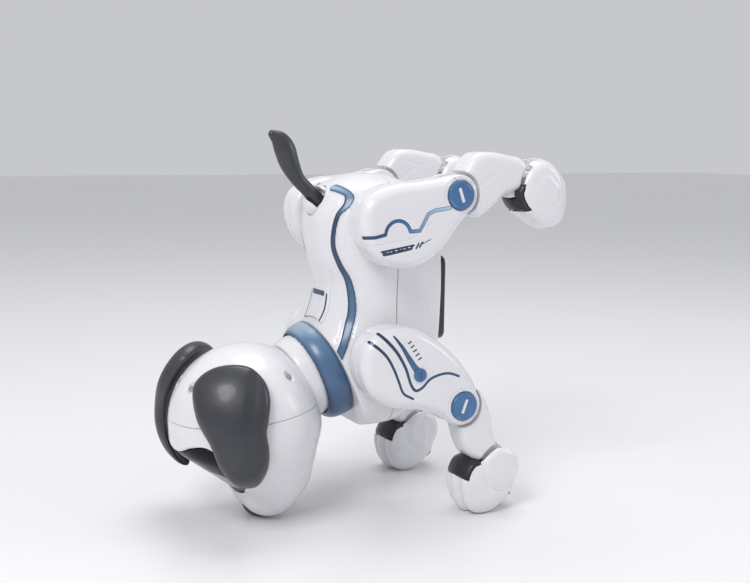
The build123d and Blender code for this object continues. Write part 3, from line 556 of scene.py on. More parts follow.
def torso_skin(x, y, z):
    """Distance to the torso's outside: a rounded rectangle at each height."""
    level = np.clip(z, TORSO[0, 0], TORSO[-1, 0])
    back, belly, half, corner = (np.interp(level, TORSO_STEPS[:, 0], row) for row in TORSO_STEPS.T[1:])
    a = np.abs(x - (back + belly) / 2) - ((belly - back) / 2 - corner)
    b = np.abs(y) - (half - corner)
    ring = np.hypot(np.maximum(a, 0), np.maximum(b, 0)) + np.minimum(np.maximum(a, b), 0) - corner
    return common(common(ring, z - TORSO[-1, 0], 6), TORSO[0, 0] - z, 6)


stripe_line = smooth(STRIPE, closed=False, steps=6)
STRIPE_GAP, STRIPE_WAY = table_pair((-70, 85), (80, 240), lambda x, z: to_line(x, z, stripe_line[:, :2]))
STRIPE_STOPS = np.concatenate([[0], np.cumsum(np.hypot(*np.diff(stripe_line[:, :2], axis=0).T))])


def stripe_half(x, z):
    return np.interp(STRIPE_WAY(x, z), STRIPE_STOPS / STRIPE_STOPS[-1], stripe_line[:, 2])


def on_flank(y):
    """Large near the middle plane, so that a side mark stays on the flank."""
    return np.maximum(13 - np.abs(y), 0)


def torso_shell(x, y, z):
    skin = torso_skin(x, y, z)
    beside = STRIPE_GAP(x, z) - stripe_half(x, z) + on_flank(y)
    skin = skin + groove(beside - 1.4, 0.5, 0.3)
    neck = neck_distance(x, y, z) + COLLAR_HALF
    form = common(skin, neck, 1.0)
    shell = common(form, -np.maximum(torso_skin(x, y, z) + WALL, neck + WALL), 0.5)
    shell = cut(shell, ball(x, y, z, TAIL_PIVOT, SOCKET_RADIUS + 0.25), 1.0)
    for joint in ("hind_left_hip", "front_left_shoulder"):
        centre = pivot(joint)
        shell = cut(shell, radius_from(centre, x, z) - HIP_HOLE, 0.5)
    return shell


def back_half(x, y, z):
    return common(torso_shell(x, y, z), x - SEAM_X + 0.12, 0.7)


def belly_half(x, y, z):
    shell = common(torso_shell(x, y, z), SEAM_X + 0.12 - x, 0.7)
    middle, half = sum(DOOR["z"]) / 2, (DOOR["z"][1] - DOOR["z"][0]) / 2
    beside = np.maximum(np.abs(y) - DOOR["half"], np.abs(z - middle) - half)
    return cut(shell, slab(beside - 0.3, DOOR["x"] - x, 0.2), 0.8)


build("torso_back_casing", back_half, (-47, -41, 56), (SEAM_X, 41, 230), 1.0, PLAIN_WHITE, "torso",
      ["torso_back_shell"])
build("torso_belly_casing", belly_half, (SEAM_X, -41, 56), (64, 41, 230), 1.0, PLAIN_WHITE, "torso",
      ["torso_belly_shell"])


def stripe_strip(x, y, z):
    """A thin inlay that follows the flank."""
    level = torso_skin(x, y, z)
    crown = 0.75
    width = STRIPE_GAP(x, z) - stripe_half(x, z) + on_flank(y)
    strip = slab(width, np.abs(level - 0.1) - crown, 0.5)
    strip = common(strip, neck_distance(x, y, z) + COLLAR_HALF + 0.4, 0.6)
    return cut(strip, ball(x, y, z, TAIL_PIVOT, SOCKET_RADIUS + 0.6), 0.6)


def stripe_tone(x, y, z):
    """Pale over the rump, navy along the back and mid blue towards the collar, with dark edges."""
    way = STRIPE_WAY(x, z)
    shade = np.interp(way, [0, 0.10, 0.2, 0.3, 0.5, 0.7, 1], [1.0, 0.95, 0.6, 0.1, 0.1, 0.55, 0.5])
    middle = 1 - np.clip(STRIPE_GAP(x, z) / stripe_half(x, z), 0, 1) ** 2
    return shade * (0.35 + 0.65 * middle)


for side, sign in (("left", -1), ("right", 1)):
    edges = sorted((sign * 12.0, sign * 41.0))
    build(f"side_stripe_{side}", stripe_strip, (-45, edges[0], 98), (5, edges[1], 226), 0.6, TRIM, "torso",
          ["side_stripes"] if side == "left" else [], {"tone": stripe_tone})

# Nape plate: a raised white tab over the withers with a printed navy edge
NAPE = outline(smooth([(-14, 152), (-34, 152.5), (-38, 140), (-43.5, 131), (-38, 121.5), (-27, 118),
                       (-17.5, 128), (-16.5, 140)], steps=4))


def nape_half(z):
    return 15 - 0.10 * np.abs(z - 138)


def nape_field(x, y, z):
    plate = slab(np.maximum(NAPE(x, z), np.abs(y) - nape_half(z)), torso_skin(x, y, z) - 1.6, 1.2)
    plate = common(plate, -(torso_skin(x, y, z) + 0.4), 0.3)
    behind = np.maximum(-COLLAR_HALF - 1 - neck_distance(x, y, z), 0)
    return cut(plate, neck_radius(x, y, z) - COLLAR_RADIUS - 0.6 + behind, 0.5)


def nape_ink(x, y, z):
    """A line inside the plate's edge and a plain bar at its top."""
    rim = np.maximum(NAPE(x, z), np.abs(y) - nape_half(z))
    label = np.maximum(np.abs(y) - 9.0, np.abs(z - 148.6) - 1.7)
    edge = np.maximum(np.abs(rim + 2.4) - 0.8, z - 149)
    return np.minimum(edge, label)


build("nape_tab", nape_field, (-47, -17, 115), (-10, 17, 156), 0.6, PRINTED_WHITE, "torso",
      ["nape_plate"], {"ink": nape_ink, "tone": lambda x, y, z: 0.12 + 0 * x})


# Collar: a band whose outside falls away in a quarter round towards the head
def collar_span(z):
    """Where the band ends towards the head, along the neck, and its middle and half width there."""
    front = np.interp(z, (62, 128), (8.3, 6.5))
    return front, (front - COLLAR_HALF) / 2, (front + COLLAR_HALF) / 2


def collar_field(x, y, z):
    s, radius = neck_distance(x, y, z), neck_radius(x, y, z)
    front, middle, half = collar_span(z)
    forward = np.clip((s + 3.5) / (front + 3.5), 0, 1)
    widest = COLLAR_RADIUS - 0.5 - np.interp(z, (70, 126), (0, 3.6))
    outer = widest - (COLLAR_RADIUS - NECK_RADIUS - 1.8) * (1 - np.sqrt(1 - 0.96 * forward**2))
    ring = np.maximum((radius - outer) * 0.85, NECK_RADIUS + 0.7 - radius)
    return slab(ring, np.abs(s - middle) - half, 1.2)


def collar_sheen_and_shade(x, y, z):
    """Painted sheen, palest at the nape on the top of the band, and painted shade that darkens both of its
    edges.
    """
    _, middle, half = collar_span(z)
    # painted shade towards both edges of the band
    edge = np.clip((np.abs(neck_distance(x, y, z) - middle) - half + 3.0) / 3.0, 0, 1)
    # painted sheen: the band pales towards its top
    lit = np.interp(z, [60, 85, 108, 120, 128], [0.22, 0.38, 0.5, 0.7, 0.95])
    return lit * (1 - 0.65 * edge)


build("neck_collar", collar_field, (-57, -38, 58), (-5, 38, 134), 0.8, TRIM, "torso",
      ["collar"], {"tone": collar_sheen_and_shade})

# ---- Tail: a flattened club that curls back at its tip ----
TAIL = smooth([(-28, 209.5, 5.2), (-35.5, 216.8, 4.7), (-43, 224.3, 4.9), (-48.6, 234, 6.5),
               (-52, 243.3, 7.1), (-55.4, 249.4, 5.6), (-60.6, 253.2, 2.9)], closed=False, steps=5)
TAIL_FOLD = TAIL[8:24, :2] + (-1.6, -1.0)
TAIL_HOLLOW = Table((-75, 195), (-10, 270), lambda x, z: groove(to_line(x, z, TAIL_FOLD)[0], 1.5, 0.55))


def tail_field(x, y, z):
    """A chain of round cones, a little flattened, with a shallow fold on the near side."""
    field = None
    for a, b in zip(TAIL[:-1], TAIL[1:]):
        link = round_cone(x, y * 1.12, z, (a[0], 0, a[1]), (b[0], 0, b[1]), a[2], b[2])
        field = link if field is None else np.minimum(field, link)
    return field + TAIL_HOLLOW(x, z) * np.clip(1 - np.abs(y + 3.4) / 2.2, 0, 1)


build("tail_club", tail_field, (-64.5, -6.8, 203.5), (-22, 6.8, 257), 0.6, SLATE, "tail",
      ["tail"])


# ---- Head ----
HEAD = pivot("left_ear_swing")
HEAD_RADIUS = 50.7
CHIN = HEAD + (10.0, 0.0, -30.5)
CHIN_RADIUS = 35.5
FACE = np.array((-0.6, 0.0, -0.8))      # direction that the face looks
FACE_DEPTH, FACE_ROUND = 42.6, 70.0     # the face from the ball's centre, and its curve from cheek to cheek
SNOUT = HEAD + (13.0, 0.0, -45.0)
SNOUT_HALF, SNOUT_RADIUS = 8.0, 20.5
HEAD_BACK = float((HEAD - COLLAR) @ NECK) - 41.0
RECESSES = [np.array((x, side * y, z)) / math.sqrt(x * x + y * y + z * z)
            for x, y, z in ((17, 34, 34), (-42, 12, 27)) for side in (-1, 1)]
SEAM_TILT = math.tan(math.radians(6.0))
NOSE = HEAD + (7.0, 0.0, -57.5)
NOSE_RADIUS = 9.5
VISOR_FROM = -85.0      # the visor lies ahead of this x
VISOR_EDGE = [(0, 51), (6, 51.5), (13, 53.6), (21, 57), (32, 59), (38.5, 53), (39.5, 44), (34.5, 35),
              (26.5, 28.5), (14.5, 21.5), (0, 19)]
visor_right = smooth(VISOR_EDGE, closed=False, steps=4)
VISOR = outline(np.vstack([visor_right, (visor_right * (-1, 1))[-2:0:-1]]), margin=60.0)


def head_skin(x, y, z):
    """A ball run into a smaller chin, cut by the curved face, with the snout joined on."""
    skin = round_cone(x, y, z, HEAD, CHIN, HEAD_RADIUS, CHIN_RADIUS)
    ahead = (x - HEAD[0]) * FACE[0] + (z - HEAD[2]) * FACE[2] - FACE_DEPTH + FACE_ROUND
    skin = common(skin, np.hypot(ahead, y) - FACE_ROUND, 3.0)
    snout = np.sqrt((x - SNOUT[0]) ** 2 + np.maximum(np.abs(y) - SNOUT_HALF, 0) ** 2 + (z - SNOUT[2]) ** 2)
    skin = join(skin, snout - SNOUT_RADIUS, 2.5)
    return common(skin, HEAD_BACK - neck_distance(x, y, z), 1.4)


def head_shell(x, y, z):
    skin = head_skin(x, y, z)
    shell = common(skin, -(skin + WALL), 0.5)
    for direction in RECESSES:
        centre = HEAD + direction * (HEAD_RADIUS + 0.6)
        dx, dy, dz = x - centre[0], y - centre[1], z - centre[2]
        depth = along(direction, dx, dy, dz)
        level = dz - depth * direction[2]
        square = dx**2 + dy**2 + dz**2 - depth**2
        oval = np.sqrt(np.maximum(square - 0.82 * level**2, 0)) - 2.7
        shell = cut(shell, slab(oval, np.abs(depth) - 2.0, 0.5), 0.9)
    return shell


def head_seam(x, z):
    """Height above the parting line between the two head shells."""
    return z - (HEAD[2] + 8.4) - (x - HEAD[0]) * SEAM_TILT


def visor_gap(x, y, z):
    return np.maximum(VISOR(y, z), x - VISOR_FROM)


def upper_head(x, y, z):
    return common(head_shell(x, y, z), -head_seam(x, z) + 0.04, 0.4)


def face(x, y, z):
    lip = 0.6 * np.exp(-((VISOR(y, z) - 1.8) / 1.3) ** 2) * (x < VISOR_FROM)
    shell = common(head_shell(x, y, z) - lip, head_seam(x, z) + 0.04, 0.4)
    shell = cut(shell, visor_gap(x, y, z) - 0.25, 0.8)
    return cut(shell, ball(x, y, z, NOSE, NOSE_RADIUS + 0.2), 0.8)


def visor(x, y, z):
    skin = head_skin(x, y, z) + 0.5
    plate = slab(visor_gap(x, y, z) + 0.15, np.abs(skin + 1.2) - 1.2, 0.6)
    return common(plate, head_seam(x, z) + 0.2, 0.4)


def eye_panel(x, y, z):
    """Below zero inside the two eye shapes of the light panel."""
    return np.hypot((np.abs(y) - 14.5) / 1.7, z - 32.0) - 6.0


build("head_upper_shell", upper_head, (-132, -52, 66), (-28, 52, 119), 1.0, PLAIN_WHITE, "head",
      ["head_back_shell"])
build("head_face_shell", face, (-132, -52, 0), (-28, 52, 84), 0.9, PLAIN_WHITE, "head",
      ["face_shell"])
build("visor_window", visor, (-131, -42, 15), (-84, 42, 64), 0.7, GLASS, "head",
      ["face_visor"], {"panel": eye_panel})


def neck_sleeve(x, y, z):
    """The head's white neck: a short tube with a flared root that turns inside the collar."""
    s, radius = neck_distance(x, y, z), neck_radius(x, y, z)
    outer = NECK_RADIUS - 0.012 * np.maximum(s - 7, 0) ** 2
    return slab(np.maximum(radius - outer, outer - 5 - radius), np.abs(s - 6.5) - 10.0, 1.2)


build("neck_tube", neck_sleeve, (-82, -31, 48), (-20, 31, 128), 0.9, PLAIN_WHITE, "head",
      ["neck_ring"])

# Ears: curved pear-shaped flaps with a soft fold, seen along EAR_LOOK
EAR_LOOK = Vector((-0.35, -0.80, 0.49)).normalized()
EAR_ACROSS = Vector((-EAR_LOOK.y, EAR_LOOK.x, 0)).normalized()
EAR_UP = EAR_LOOK.cross(EAR_ACROSS)
EAR = outline(smooth([(-30.7, 1.5), (-29, 10.9), (-20.1, 18), (-7.6, 20.4), (5.3, 18.3), (14.4, 9),
                      (17.8, -2.5), (17.1, -14), (15.8, -23), (17.4, -32.5), (16, -42), (10, -49.2),
                      (1, -50.6), (-6.6, -48), (-13.8, -40), (-19, -28.8), (-27.1, -14.7)], steps=5))
EAR_FOLD = smooth([(9, 12), (8, -4), (6, -20), (7, -36)], closed=False)
EAR_INNER, EAR_OUTER = 51.4, 61.4
EAR_REST = {"right": 26.0}      # the right ear rests swung forward, degrees
EAR_STAND_OFF = 1.05            # and a little away from the head


def ear_plan(x, y, z):
    """A point in the ear's own flat view: across, up, distance from the head's centre, and depth."""
    dx, dy, dz = x - HEAD[0], y - HEAD[1], z - HEAD[2]
    across, up, facing = (along(direction, dx, dy, dz) for direction in (EAR_ACROSS, EAR_UP, EAR_LOOK))
    return across, up, np.sqrt(dx * dx + dy * dy + dz * dz), facing


EAR_VALLEY = Table((-50, -70), (40, 40), lambda x, z: groove(to_line(x, z, EAR_FOLD)[0], 4.5, 0.8))


def ear_field(x, y, z):
    across, up, distance, facing = ear_plan(x, y, z)
    flat = EAR(across, up)
    dome = 1.6 * np.clip(1 + flat / 20, 0, 1) ** 2
    outer = distance - EAR_OUTER + dome + EAR_VALLEY(across, up)
    flap = slab(flat, np.maximum(outer, EAR_INNER - distance), 3.6)
    flap = np.maximum(flap, 9 - facing)
    return np.maximum(flap, 0.9 - round_cone(x, y, z, HEAD, CHIN, HEAD_RADIUS, CHIN_RADIUS))


def swing_forward(points, normals, side):
    """The left ear mirrored and turned about its peg to where the other ear rests."""
    axis = Vector(JOINTS[f"{side}_ear_swing"]["axis"])
    turn = np.array(Matrix.Rotation(math.radians(EAR_REST[side]), 3, axis))
    moved = (points * (1, -1, 1) - HEAD) @ turn.T * EAR_STAND_OFF + HEAD
    return moved, normals * (1, -1, 1) @ turn.T


points, quads, normals = surface(ear_field, (-134, -65, 12), (-70, -4, 118), 0.7)
place("ear_flap_left", new_mesh("ear_flap_left", points, quads, normals, {}), SLATE, "left_ear",
      ["ear_left"])
points, normals = swing_forward(points, normals, "right")
place("ear_flap_right", new_mesh("ear_flap_right", points, quads[:, ::-1], normals, {}), SLATE, "right_ear",
      ["ear_right"])

# ---- Legs ----
LEG_MID, THIGH_OUT = 54.0, 67.0                         # the leg's middle layer and outer face, from y = 0
THIGH_HALF, SHIN_HALF, PAW_HALF = 12.1, 10.4, 15.8      # half thicknesses
CAP_TOP = THIGH_OUT + 1.2
CAP_RADIUS, CAP_SEAT, KNEE_RADIUS, KNEE_RELIEF = 9.5, 9.8, 13.0, 15.6
SLOT_HALF = 4.0
ANKLE_RADIUS, PAW_DOME = 16.0, 10.0
WHEEL = (18.6, -7.0, 7.7, 4.0)      # roller room in the paw: place, radius, half width
PIN_RADIUS = 3.0
LINE_MARGIN = 14.0                  # how far the tables of lines reach past an outline

# Outlines and printed lines in the side view, from the leg's top pivot, the knee or the ankle. A printed line
# is its points, its width at both ends and its tone at both ends. slot_lean and turn are in degrees.
LEGS = {
    "hind": {
        "top": "hip", "turn": 0.0, "slot_lean": 110.0,
        "pad": [(-23, -1), (-12, -0.5), (-7.5, -6), (-5.4, -11), (-8.4, -16.4), (-15, -17.6), (-24, -16)],
        "paw": [(-14, 8), (-8, 15.4), (0, 17.4), (7, 16.2), (13.5, 11.5), (20.5, 3.5), (22.8, -6),
                (22.4, -16), (19, -25), (12, -29.6), (4, -30), (-5, -25.5), (-13.4, -19.4), (-19, -12),
                (-20.6, -3.5)],
        "thigh": [(-27, -2), (-27, 8), (-23, 17), (-13, 23.5), (0, 26.5), (14, 27.6), (28, 29.6),
                  (40, 31.8), (49, 30), (54.6, 23), (54.8, 14), (50, 6.5), (44, 0), (37, -9), (27, -19),
                  (13, -26), (-1, -27), (-13, -23), (-22, -14)],
        "lines": [
            ([(-27, -7), (-19, -6.4)] + arc(-3.6, -5.2, 8.9, 178, 12)
             + [(12, -3), (18, 7.5), (23, 9.6), (34, 11)], 2.2, 2.6, 0.05, 1.0),
            ([(-12.6, -16.9), (5.6, -13.6)], 2.9, 2.9, 0.05, 0.05),
            ([(-14.8, -15.6), (7.8, -12.0)], 1.3, 1.3, 0.05, 0.05),
            ([(9.3, -14.3), (11.3, -10.9)], 1.1, 1.1, 0.1, 0.1),
            ([(11.9, -13.6), (13.9, -10.2)], 1.1, 1.1, 0.1, 0.1),
            ([(13.8, -11.4), (20, -8.6)], 0.8, 0.8, 0.15, 0.3),
        ],
        "blanks": [((-12 + 3.1 * k, -16.1 + 0.52 * k), (-10.4 + 3.1 * k, -15.8 + 0.52 * k))
                   for k in range(6)],
        "creases": [[(-26, -12), (-19, -11.6), (-11, -10.5), (8, -7.5), (16, -1), (22, 2)]],
        "calf": [(2, 8), (8, 20), (15, 26.5), (26, 27.5), (39, 25.5), (50, 23), (56, 15), (57, 6),
                 (48, 2.5), (38, 0), (30, -6), (16, -15), (7, -8)],
        "shin_creases": [[(12, 3), (26, 14)], [(22, 19), (34, 16)]],
    },
    "front": {
        "top": "shoulder", "turn": 49.0, "slot_lean": 69.0,
        "pad": [(-19, -7.4), (-12.5, -11), (-7.2, -15.2), (-10.5, -20.5), (-15, -24.5), (-26, -25),
                (-28, -12)],
        "paw": [(-13, 7), (-8, 13), (-1, 14.6), (7, 12), (14.5, 5.8), (20.6, -2), (22.5, -10),
                (21.8, -19), (19, -27.5), (13, -34), (6, -37), (-1, -36.4), (-8, -33.4), (-14.5, -29),
                (-19.6, -22), (-21.4, -13.5), (-17, -4)],
        "thigh": [(-26.2, 0), (-25, 12), (-19.5, 20.5), (-11, 25), (0, 26.2), (14, 23.7), (27, 16.6),
                  (40, 6.8), (51, -5), (58.6, -16.5), (61, -27), (58, -37), (49.5, -42.2), (40, -41),
                  (30, -34.5), (17, -29.6), (4, -27.6), (-6, -25.5), (-15, -20), (-22.5, -11.5)],
        "lines": [
            (smooth([(-20.8, 18), (-11.5, 9.6), (-6, 1), (-2, -8), (1.6, -16), (9, -20.4)], False, 4),
             2.0, 1.5, 0.02, 0.1),
            (smooth([(-14.6, 22.8), (-4, 11.5), (3, 0), (6.6, -10), (10.4, -15), (15.6, -13.4),
                     (21.5, -8.2), (30, -5.8), (36.5, -6.0), (43, -8.4)], False, 4), 2.2, 1.6, 0.02, 0.25),
            ([(-5.6, 21.4), (0.4, 14), (5.2, 6.6), (9.4, 0.4), (12.6, -3.4)], 1.3, 4.6, 0.05, 0.5),
        ] + [([(4.6 + 1.9 * k, 16.2 - 2.75 * k), (6.8 + 1.9 * k, 17.4 - 2.75 * k)], 1.1, 1.1, 0.05, 0.05)
             for k in range(5)],
        "blanks": [],
        "creases": [arc(47.5, -29, 14.6, 190, 262)],
        "calf": [(3, 9.5), (12.5, 10), (20, 1.5), (25, -11), (27, -23), (31, -33), (29, -40.5),
                 (20, -42.5), (11, -38.5), (5, -32), (1, -21), (-2, -8)],
        "shin_creases": [[(16, -2), (24, -24)]],
    },
}


def outward(y):
    """Distance from the leg's middle layer, positive away from the body, for the left leg."""
    return -y - LEG_MID


def at(points, centre):
    return np.array(points, float)[:, :2] + (centre[0], centre[2])


def line_tables(lines, centre, low, high):
    """Tables of the ink and the tone for a leg's printed lines."""
    def nearest(x, z):
        best = np.full(np.broadcast(x, z).shape, 1e6)
        value = np.zeros(best.shape)
        for points, start, end, tone_start, tone_end in lines:
            distance, way = to_line(x, z, at(points, centre))
            distance = distance - (start + (end - start) * way) / 2
            value = np.where(distance < best, tone_start + (tone_end - tone_start) * way, value)
            best = np.minimum(best, distance)
        return best, value

    return table_pair(low, high, nearest)


def nearest_crease(creases, centre, low, high):
    """Table of the distance to the nearest of some lines; very far where there are none."""
    def make(x, z):
        best = np.full(np.broadcast(x, z).shape, 1e6)
        for points in creases:
            best = np.minimum(best, to_line(x, z, at(points, centre))[0])
        return best

    return Table(low, high, make)


def slot_field(x, z, knee, lean, half):
    """Distance to the leaning slot on a knee disc."""
    dx, dz = x - knee[0], z - knee[2]
    length = dx * math.cos(lean) + dz * math.sin(lean)
    width = -dx * math.sin(lean) + dz * math.cos(lean)
    return np.hypot(np.maximum(np.abs(length) - SLOT_HALF, 0), width) - half


class Leg:
    """A left leg at rest: its pivots, and the outline of its calf, which the paw also needs."""

    def __init__(self, kind, shape):
        self.kind, self.shape = kind, shape
        self.top = pivot(f"{kind}_left_{shape['top']}")
        self.knee = pivot(f"{kind}_left_knee")
        self.ankle = pivot(f"{kind}_left_ankle")
        self.calf_loop = smooth(at(shape["calf"], self.knee), steps=5)
        self.calf = outline(self.calf_loop)

    def build(self, piece, field, low, across, high, voxel, material, body, slot, node=None, marks=None):
        """Build a piece on both sides. low and high are side-view corners, across the range of y."""
        piece, body, node = (name and f"{self.kind}_{{side}}_{name}" for name in (piece, body, node))
        build(piece, field, (low[0], across[0], low[1]), (high[0], across[1], high[1]), voxel, material, body,
              [node] if node else [], marks)

    def own(self, x, z):
        """The paw's own side view: ankle at 0, sole towards the first value, toes below 0 in the second."""
        turn = math.radians(self.shape["turn"])
        dx, dz = x - self.ankle[0], z - self.ankle[2]
        return dx * math.cos(turn) - dz * math.sin(turn), dx * math.sin(turn) + dz * math.cos(turn)

    def reach(self, points, grow):
        """Corners of the side-view box round points of the paw's own view."""
        turn = math.radians(self.shape["turn"])
        c, s = math.cos(turn), math.sin(turn)
        spots = np.array([(self.ankle[0] + a * c + b * s, self.ankle[2] - a * s + b * c) for a, b in points])
        return spots.min(0) - grow, spots.max(0) + grow


def make_thigh(leg):
    top, knee = leg.top, leg.knee
    loop = smooth(at(leg.shape["thigh"], top), steps=5)
    low, high = loop.min(0), loop.max(0)
    thigh = outline(loop)
    area = top, low - LINE_MARGIN, high + LINE_MARGIN
    ink, tone = line_tables(leg.shape["lines"], *area)
    crease = nearest_crease(leg.shape["creases"], *area)
    blanks = nearest_crease(leg.shape["blanks"], *area)

    def printed(x, y, z):
        """Ink distance, with small blanks in the label bar, on the outer face only."""
        value = np.maximum(ink(x, z), 0.38 - blanks(x, z))
        return np.maximum(value, 10 * (6 - outward(y)))

    def thigh_form(x, y, z):
        out = outward(y)
        flat = thigh(x, z)
        around_knee = radius_from(knee, x, z)
        crown = 0.9 * (1 - np.clip(1 + flat / 16, 0, 1) ** 2)
        form = slab(flat, np.abs(out) - THIGH_HALF - crown, 5.0)
        form = common(form, (flat + out - 8.6) * 0.72, 2.0)
        form = join(form, slab(around_knee - KNEE_RADIUS, np.abs(out) - THIGH_HALF - 0.1, 1.2), 1.2)
        marks = groove(crease(x, z), 0.6, 0.35) + groove(ink(x, z), 0.5, 0.12)
        marks = marks + groove(around_knee - KNEE_RADIUS + 1.2, 0.6, 0.3) * (flat < -1.5)
        form = form + marks * (out > 8)
        form = cut(form, slab(around_knee - CAP_SEAT, 11.7 - out, 0.3), 0.6)
        tongue = np.maximum(around_knee - KNEE_RELIEF + 1.0, np.abs(out) - 5.9)
        return cut(form, tongue, 0.6)

    def thigh_outer(x, y, z):
        return common(thigh_form(x, y, z), 0.08 - outward(y), 0.6)

    def thigh_inner(x, y, z):
        shaft = slab(radius_from(top, x, z) - 6.0, np.abs(outward(y) + 17.0) - 6.0, 0.5)
        return np.minimum(common(thigh_form(x, y, z), outward(y) + 0.08, 0.6), shaft)

    leg.build("thigh_cover", thigh_outer, low, (-68, -53.5), high, 0.8, PRINTED_WHITE, "thigh",
              "white_shell", "thigh_outer", {"ink": printed, "tone": lambda x, y, z: tone(x, z)})
    leg.build("thigh_back", thigh_inner, low, (-54.5, -30.5), high, 0.9, PLAIN_WHITE, "thigh",
              "white_shell", "thigh_inner")


def make_knee_cap(leg):
    """A blue disc in a seat, with a pale bar let into it."""
    knee = leg.knee
    lean = math.radians(leg.shape["slot_lean"])

    def disc(x, y, z):
        radius = radius_from(knee, x, z)
        form = slab(radius - CAP_RADIUS, np.abs(-y - 65.9) - CAP_TOP + 65.9, 0.9)
        form = form + groove(radius - 7.9, 0.5, 0.25) * (-y > CAP_TOP - 1)
        pin = slab(radius - PIN_RADIUS, np.abs(-y - 54.5) - 11.5, 0.4)
        slot = np.maximum(slot_field(x, z, knee, lean, 1.35), CAP_TOP - 0.9 + y)
        return np.minimum(cut(form, slot, 0.4), pin)

    def bar(x, y, z):
        return slab(slot_field(x, z, knee, lean, 1.15), np.abs(-y - CAP_TOP + 0.9) - 0.75, 0.35)

    centre = knee[[0, 2]]
    leg.build("knee_disc", disc, centre - 10, (-69.6, -42.5), centre + 10, 0.5, CAP_BLUE, "thigh",
              "blue_cap", "knee_cap")
    leg.build("knee_bar", bar, centre - 6, (-CAP_TOP - 0.4, -CAP_TOP + 2.0), centre + 6, 0.3, PLAIN_WHITE,
              "thigh", "blue_cap")


def make_shin(leg):
    """The calf in two halves, hollowed round the knee, with a tongue at both ends."""
    knee, ankle, calf, loop = leg.knee, leg.ankle, leg.calf, leg.calf_loop
    area = knee, loop.min(0) - LINE_MARGIN, loop.max(0) + LINE_MARGIN
    crease = nearest_crease(leg.shape["shin_creases"], *area)
    ahead = (ankle - knee)[[0, 2]] / np.hypot(*(ankle - knee)[[0, 2]])

    def strip(x, z, centre, start, end, half):
        """A straight strip along the shin's axis."""
        a = (x - centre[0]) * ahead[0] + (z - centre[2]) * ahead[1]
        b = -(x - centre[0]) * ahead[1] + (z - centre[2]) * ahead[0]
        return np.maximum(np.maximum(start - a, a - end), np.abs(b) - half)

    def shin_form(x, y, z):
        out = np.abs(outward(y))
        flat = calf(x, z)
        around_knee, around_ankle = radius_from(knee, x, z), radius_from(ankle, x, z)
        crown = 0.8 * (1 - np.clip(1 + flat / 11, 0, 1) ** 2)
        form = slab(flat, out - SHIN_HALF - crown, 5.0)
        form = form + groove(crease(x, z), 0.6, 0.4) * (out > 7)
        form = cut(form, around_knee - KNEE_RELIEF, 1.0)
        form = cut(form, around_ankle - ANKLE_RADIUS - 0.5, 1.0)
        knee_tongue = np.minimum(around_knee - 12.0, strip(x, z, knee, 0, 24, 9))
        ankle_tongue = np.minimum(around_ankle - 9.0, strip(x, z, ankle, -24, 0, 6.5))
        form = np.minimum(form, slab(np.maximum(knee_tongue, 3.1 - around_knee), out - 5.5, 0.4))
        form = np.minimum(form, slab(ankle_tongue, out - 7.0, 0.4))
        return np.minimum(form, slab(around_ankle - PIN_RADIUS, out - 13.8, 0.4))

    def shin_outer(x, y, z):
        return common(shin_form(x, y, z), 0.06 - outward(y), 0.5)

    def shin_inner(x, y, z):
        return common(shin_form(x, y, z), outward(y) + 0.06, 0.5)

    low = (min(loop[:, 0].min(), knee[0] - 13), min(loop[:, 1].min(), ankle[2] - 10))
    high = (max(loop[:, 0].max(), ankle[0] + 10), max(loop[:, 1].max(), ankle[2] + 10))
    leg.build("shin_cover", shin_outer, low, (-68.5, -53.5), high, 0.8, PLAIN_WHITE, "shin",
              "white_shell", "shin_outer")
    leg.build("shin_back", shin_inner, low, (-54.5, -39.5), high, 0.8, PLAIN_WHITE, "shin",
              "white_shell", "shin_inner")


def make_paw(leg):
    """The paw with a gap for the shin's tongue and for the roller, and the black pad on its instep."""
    paw_outline = outline(smooth(leg.shape["paw"], steps=5))
    pad_outline = outline(smooth(leg.shape["pad"], steps=4))

    def tongue_room(a, b, out):
        """The gap between the paw's cheeks that the shin's tongue turns in."""
        return np.maximum(np.abs(out) - 7.4, np.minimum(np.hypot(a, b) - 9.4, np.maximum(a, -9.4 - b)))

    def pad(x, y, z):
        a, b = leg.own(x, z)
        out = np.abs(outward(y))
        form = slab(pad_outline(a, b), out - 12.9, 1.6)
        form = common(form, paw_outline(a, b) + 0.4 + 0.02 * out**2, 1.5)
        return cut(form, tongue_room(a, b, out), 0.5)

    def paw(x, y, z):
        a, b = leg.own(x, z)
        out = outward(y)
        wide = np.clip(np.abs(out) / PAW_HALF, 0, 1)
        pillow = PAW_DOME * (1 - np.sqrt(np.maximum(1 - wide**2.4, 0)))
        body = slab(paw_outline(a, b) + pillow, np.abs(out) - PAW_HALF, 4.0)
        cheek = slab(np.hypot(a, b) - ANKLE_RADIUS + 1.5, np.abs(out) - PAW_HALF + 0.2, 5.0)
        form = join(body, cheek, 3.0)
        toes = np.clip((-11 - b) / 12, 0, 1)
        form = form + 3.0 * toes * np.clip(1.2 - np.abs(np.abs(out) - 5.6) / 4.0, 0, 1) ** 1.5
        form = form + groove(np.hypot(a, b) - ANKLE_RADIUS + 0.4, 0.6, 0.3) * (np.abs(out) > 10)
        form = cut(form, tongue_room(a, b, out), 0.6)
        form = cut(form, np.maximum(pad_outline(a, b) - 0.3, np.abs(out) - 13.2), 0.7)
        form = cut(form, np.maximum(leg.calf(x, z) - 1.0, np.abs(out) - 11.9), 0.7)
        wheel = np.maximum(np.hypot(a - WHEEL[0], b - WHEEL[1]) - WHEEL[2], np.abs(out) - WHEEL[3])
        return common(cut(form, wheel, 0.6), -z, 1.0)

    low, high = leg.reach(leg.shape["paw"], 2.0)
    low[1] = max(low[1], -1.0)
    leg.build("paw_shell", paw, low, (-70.5, -37.5), high, 0.7, PLAIN_WHITE, "foot", "white_shell", "paw")
    low, high = leg.reach(leg.shape["pad"], 1.0)
    leg.build("instep_pad", pad, low, (-67.5, -40.5), high, 0.5, RUBBER, "foot", "soft_black", "ankle_boot")


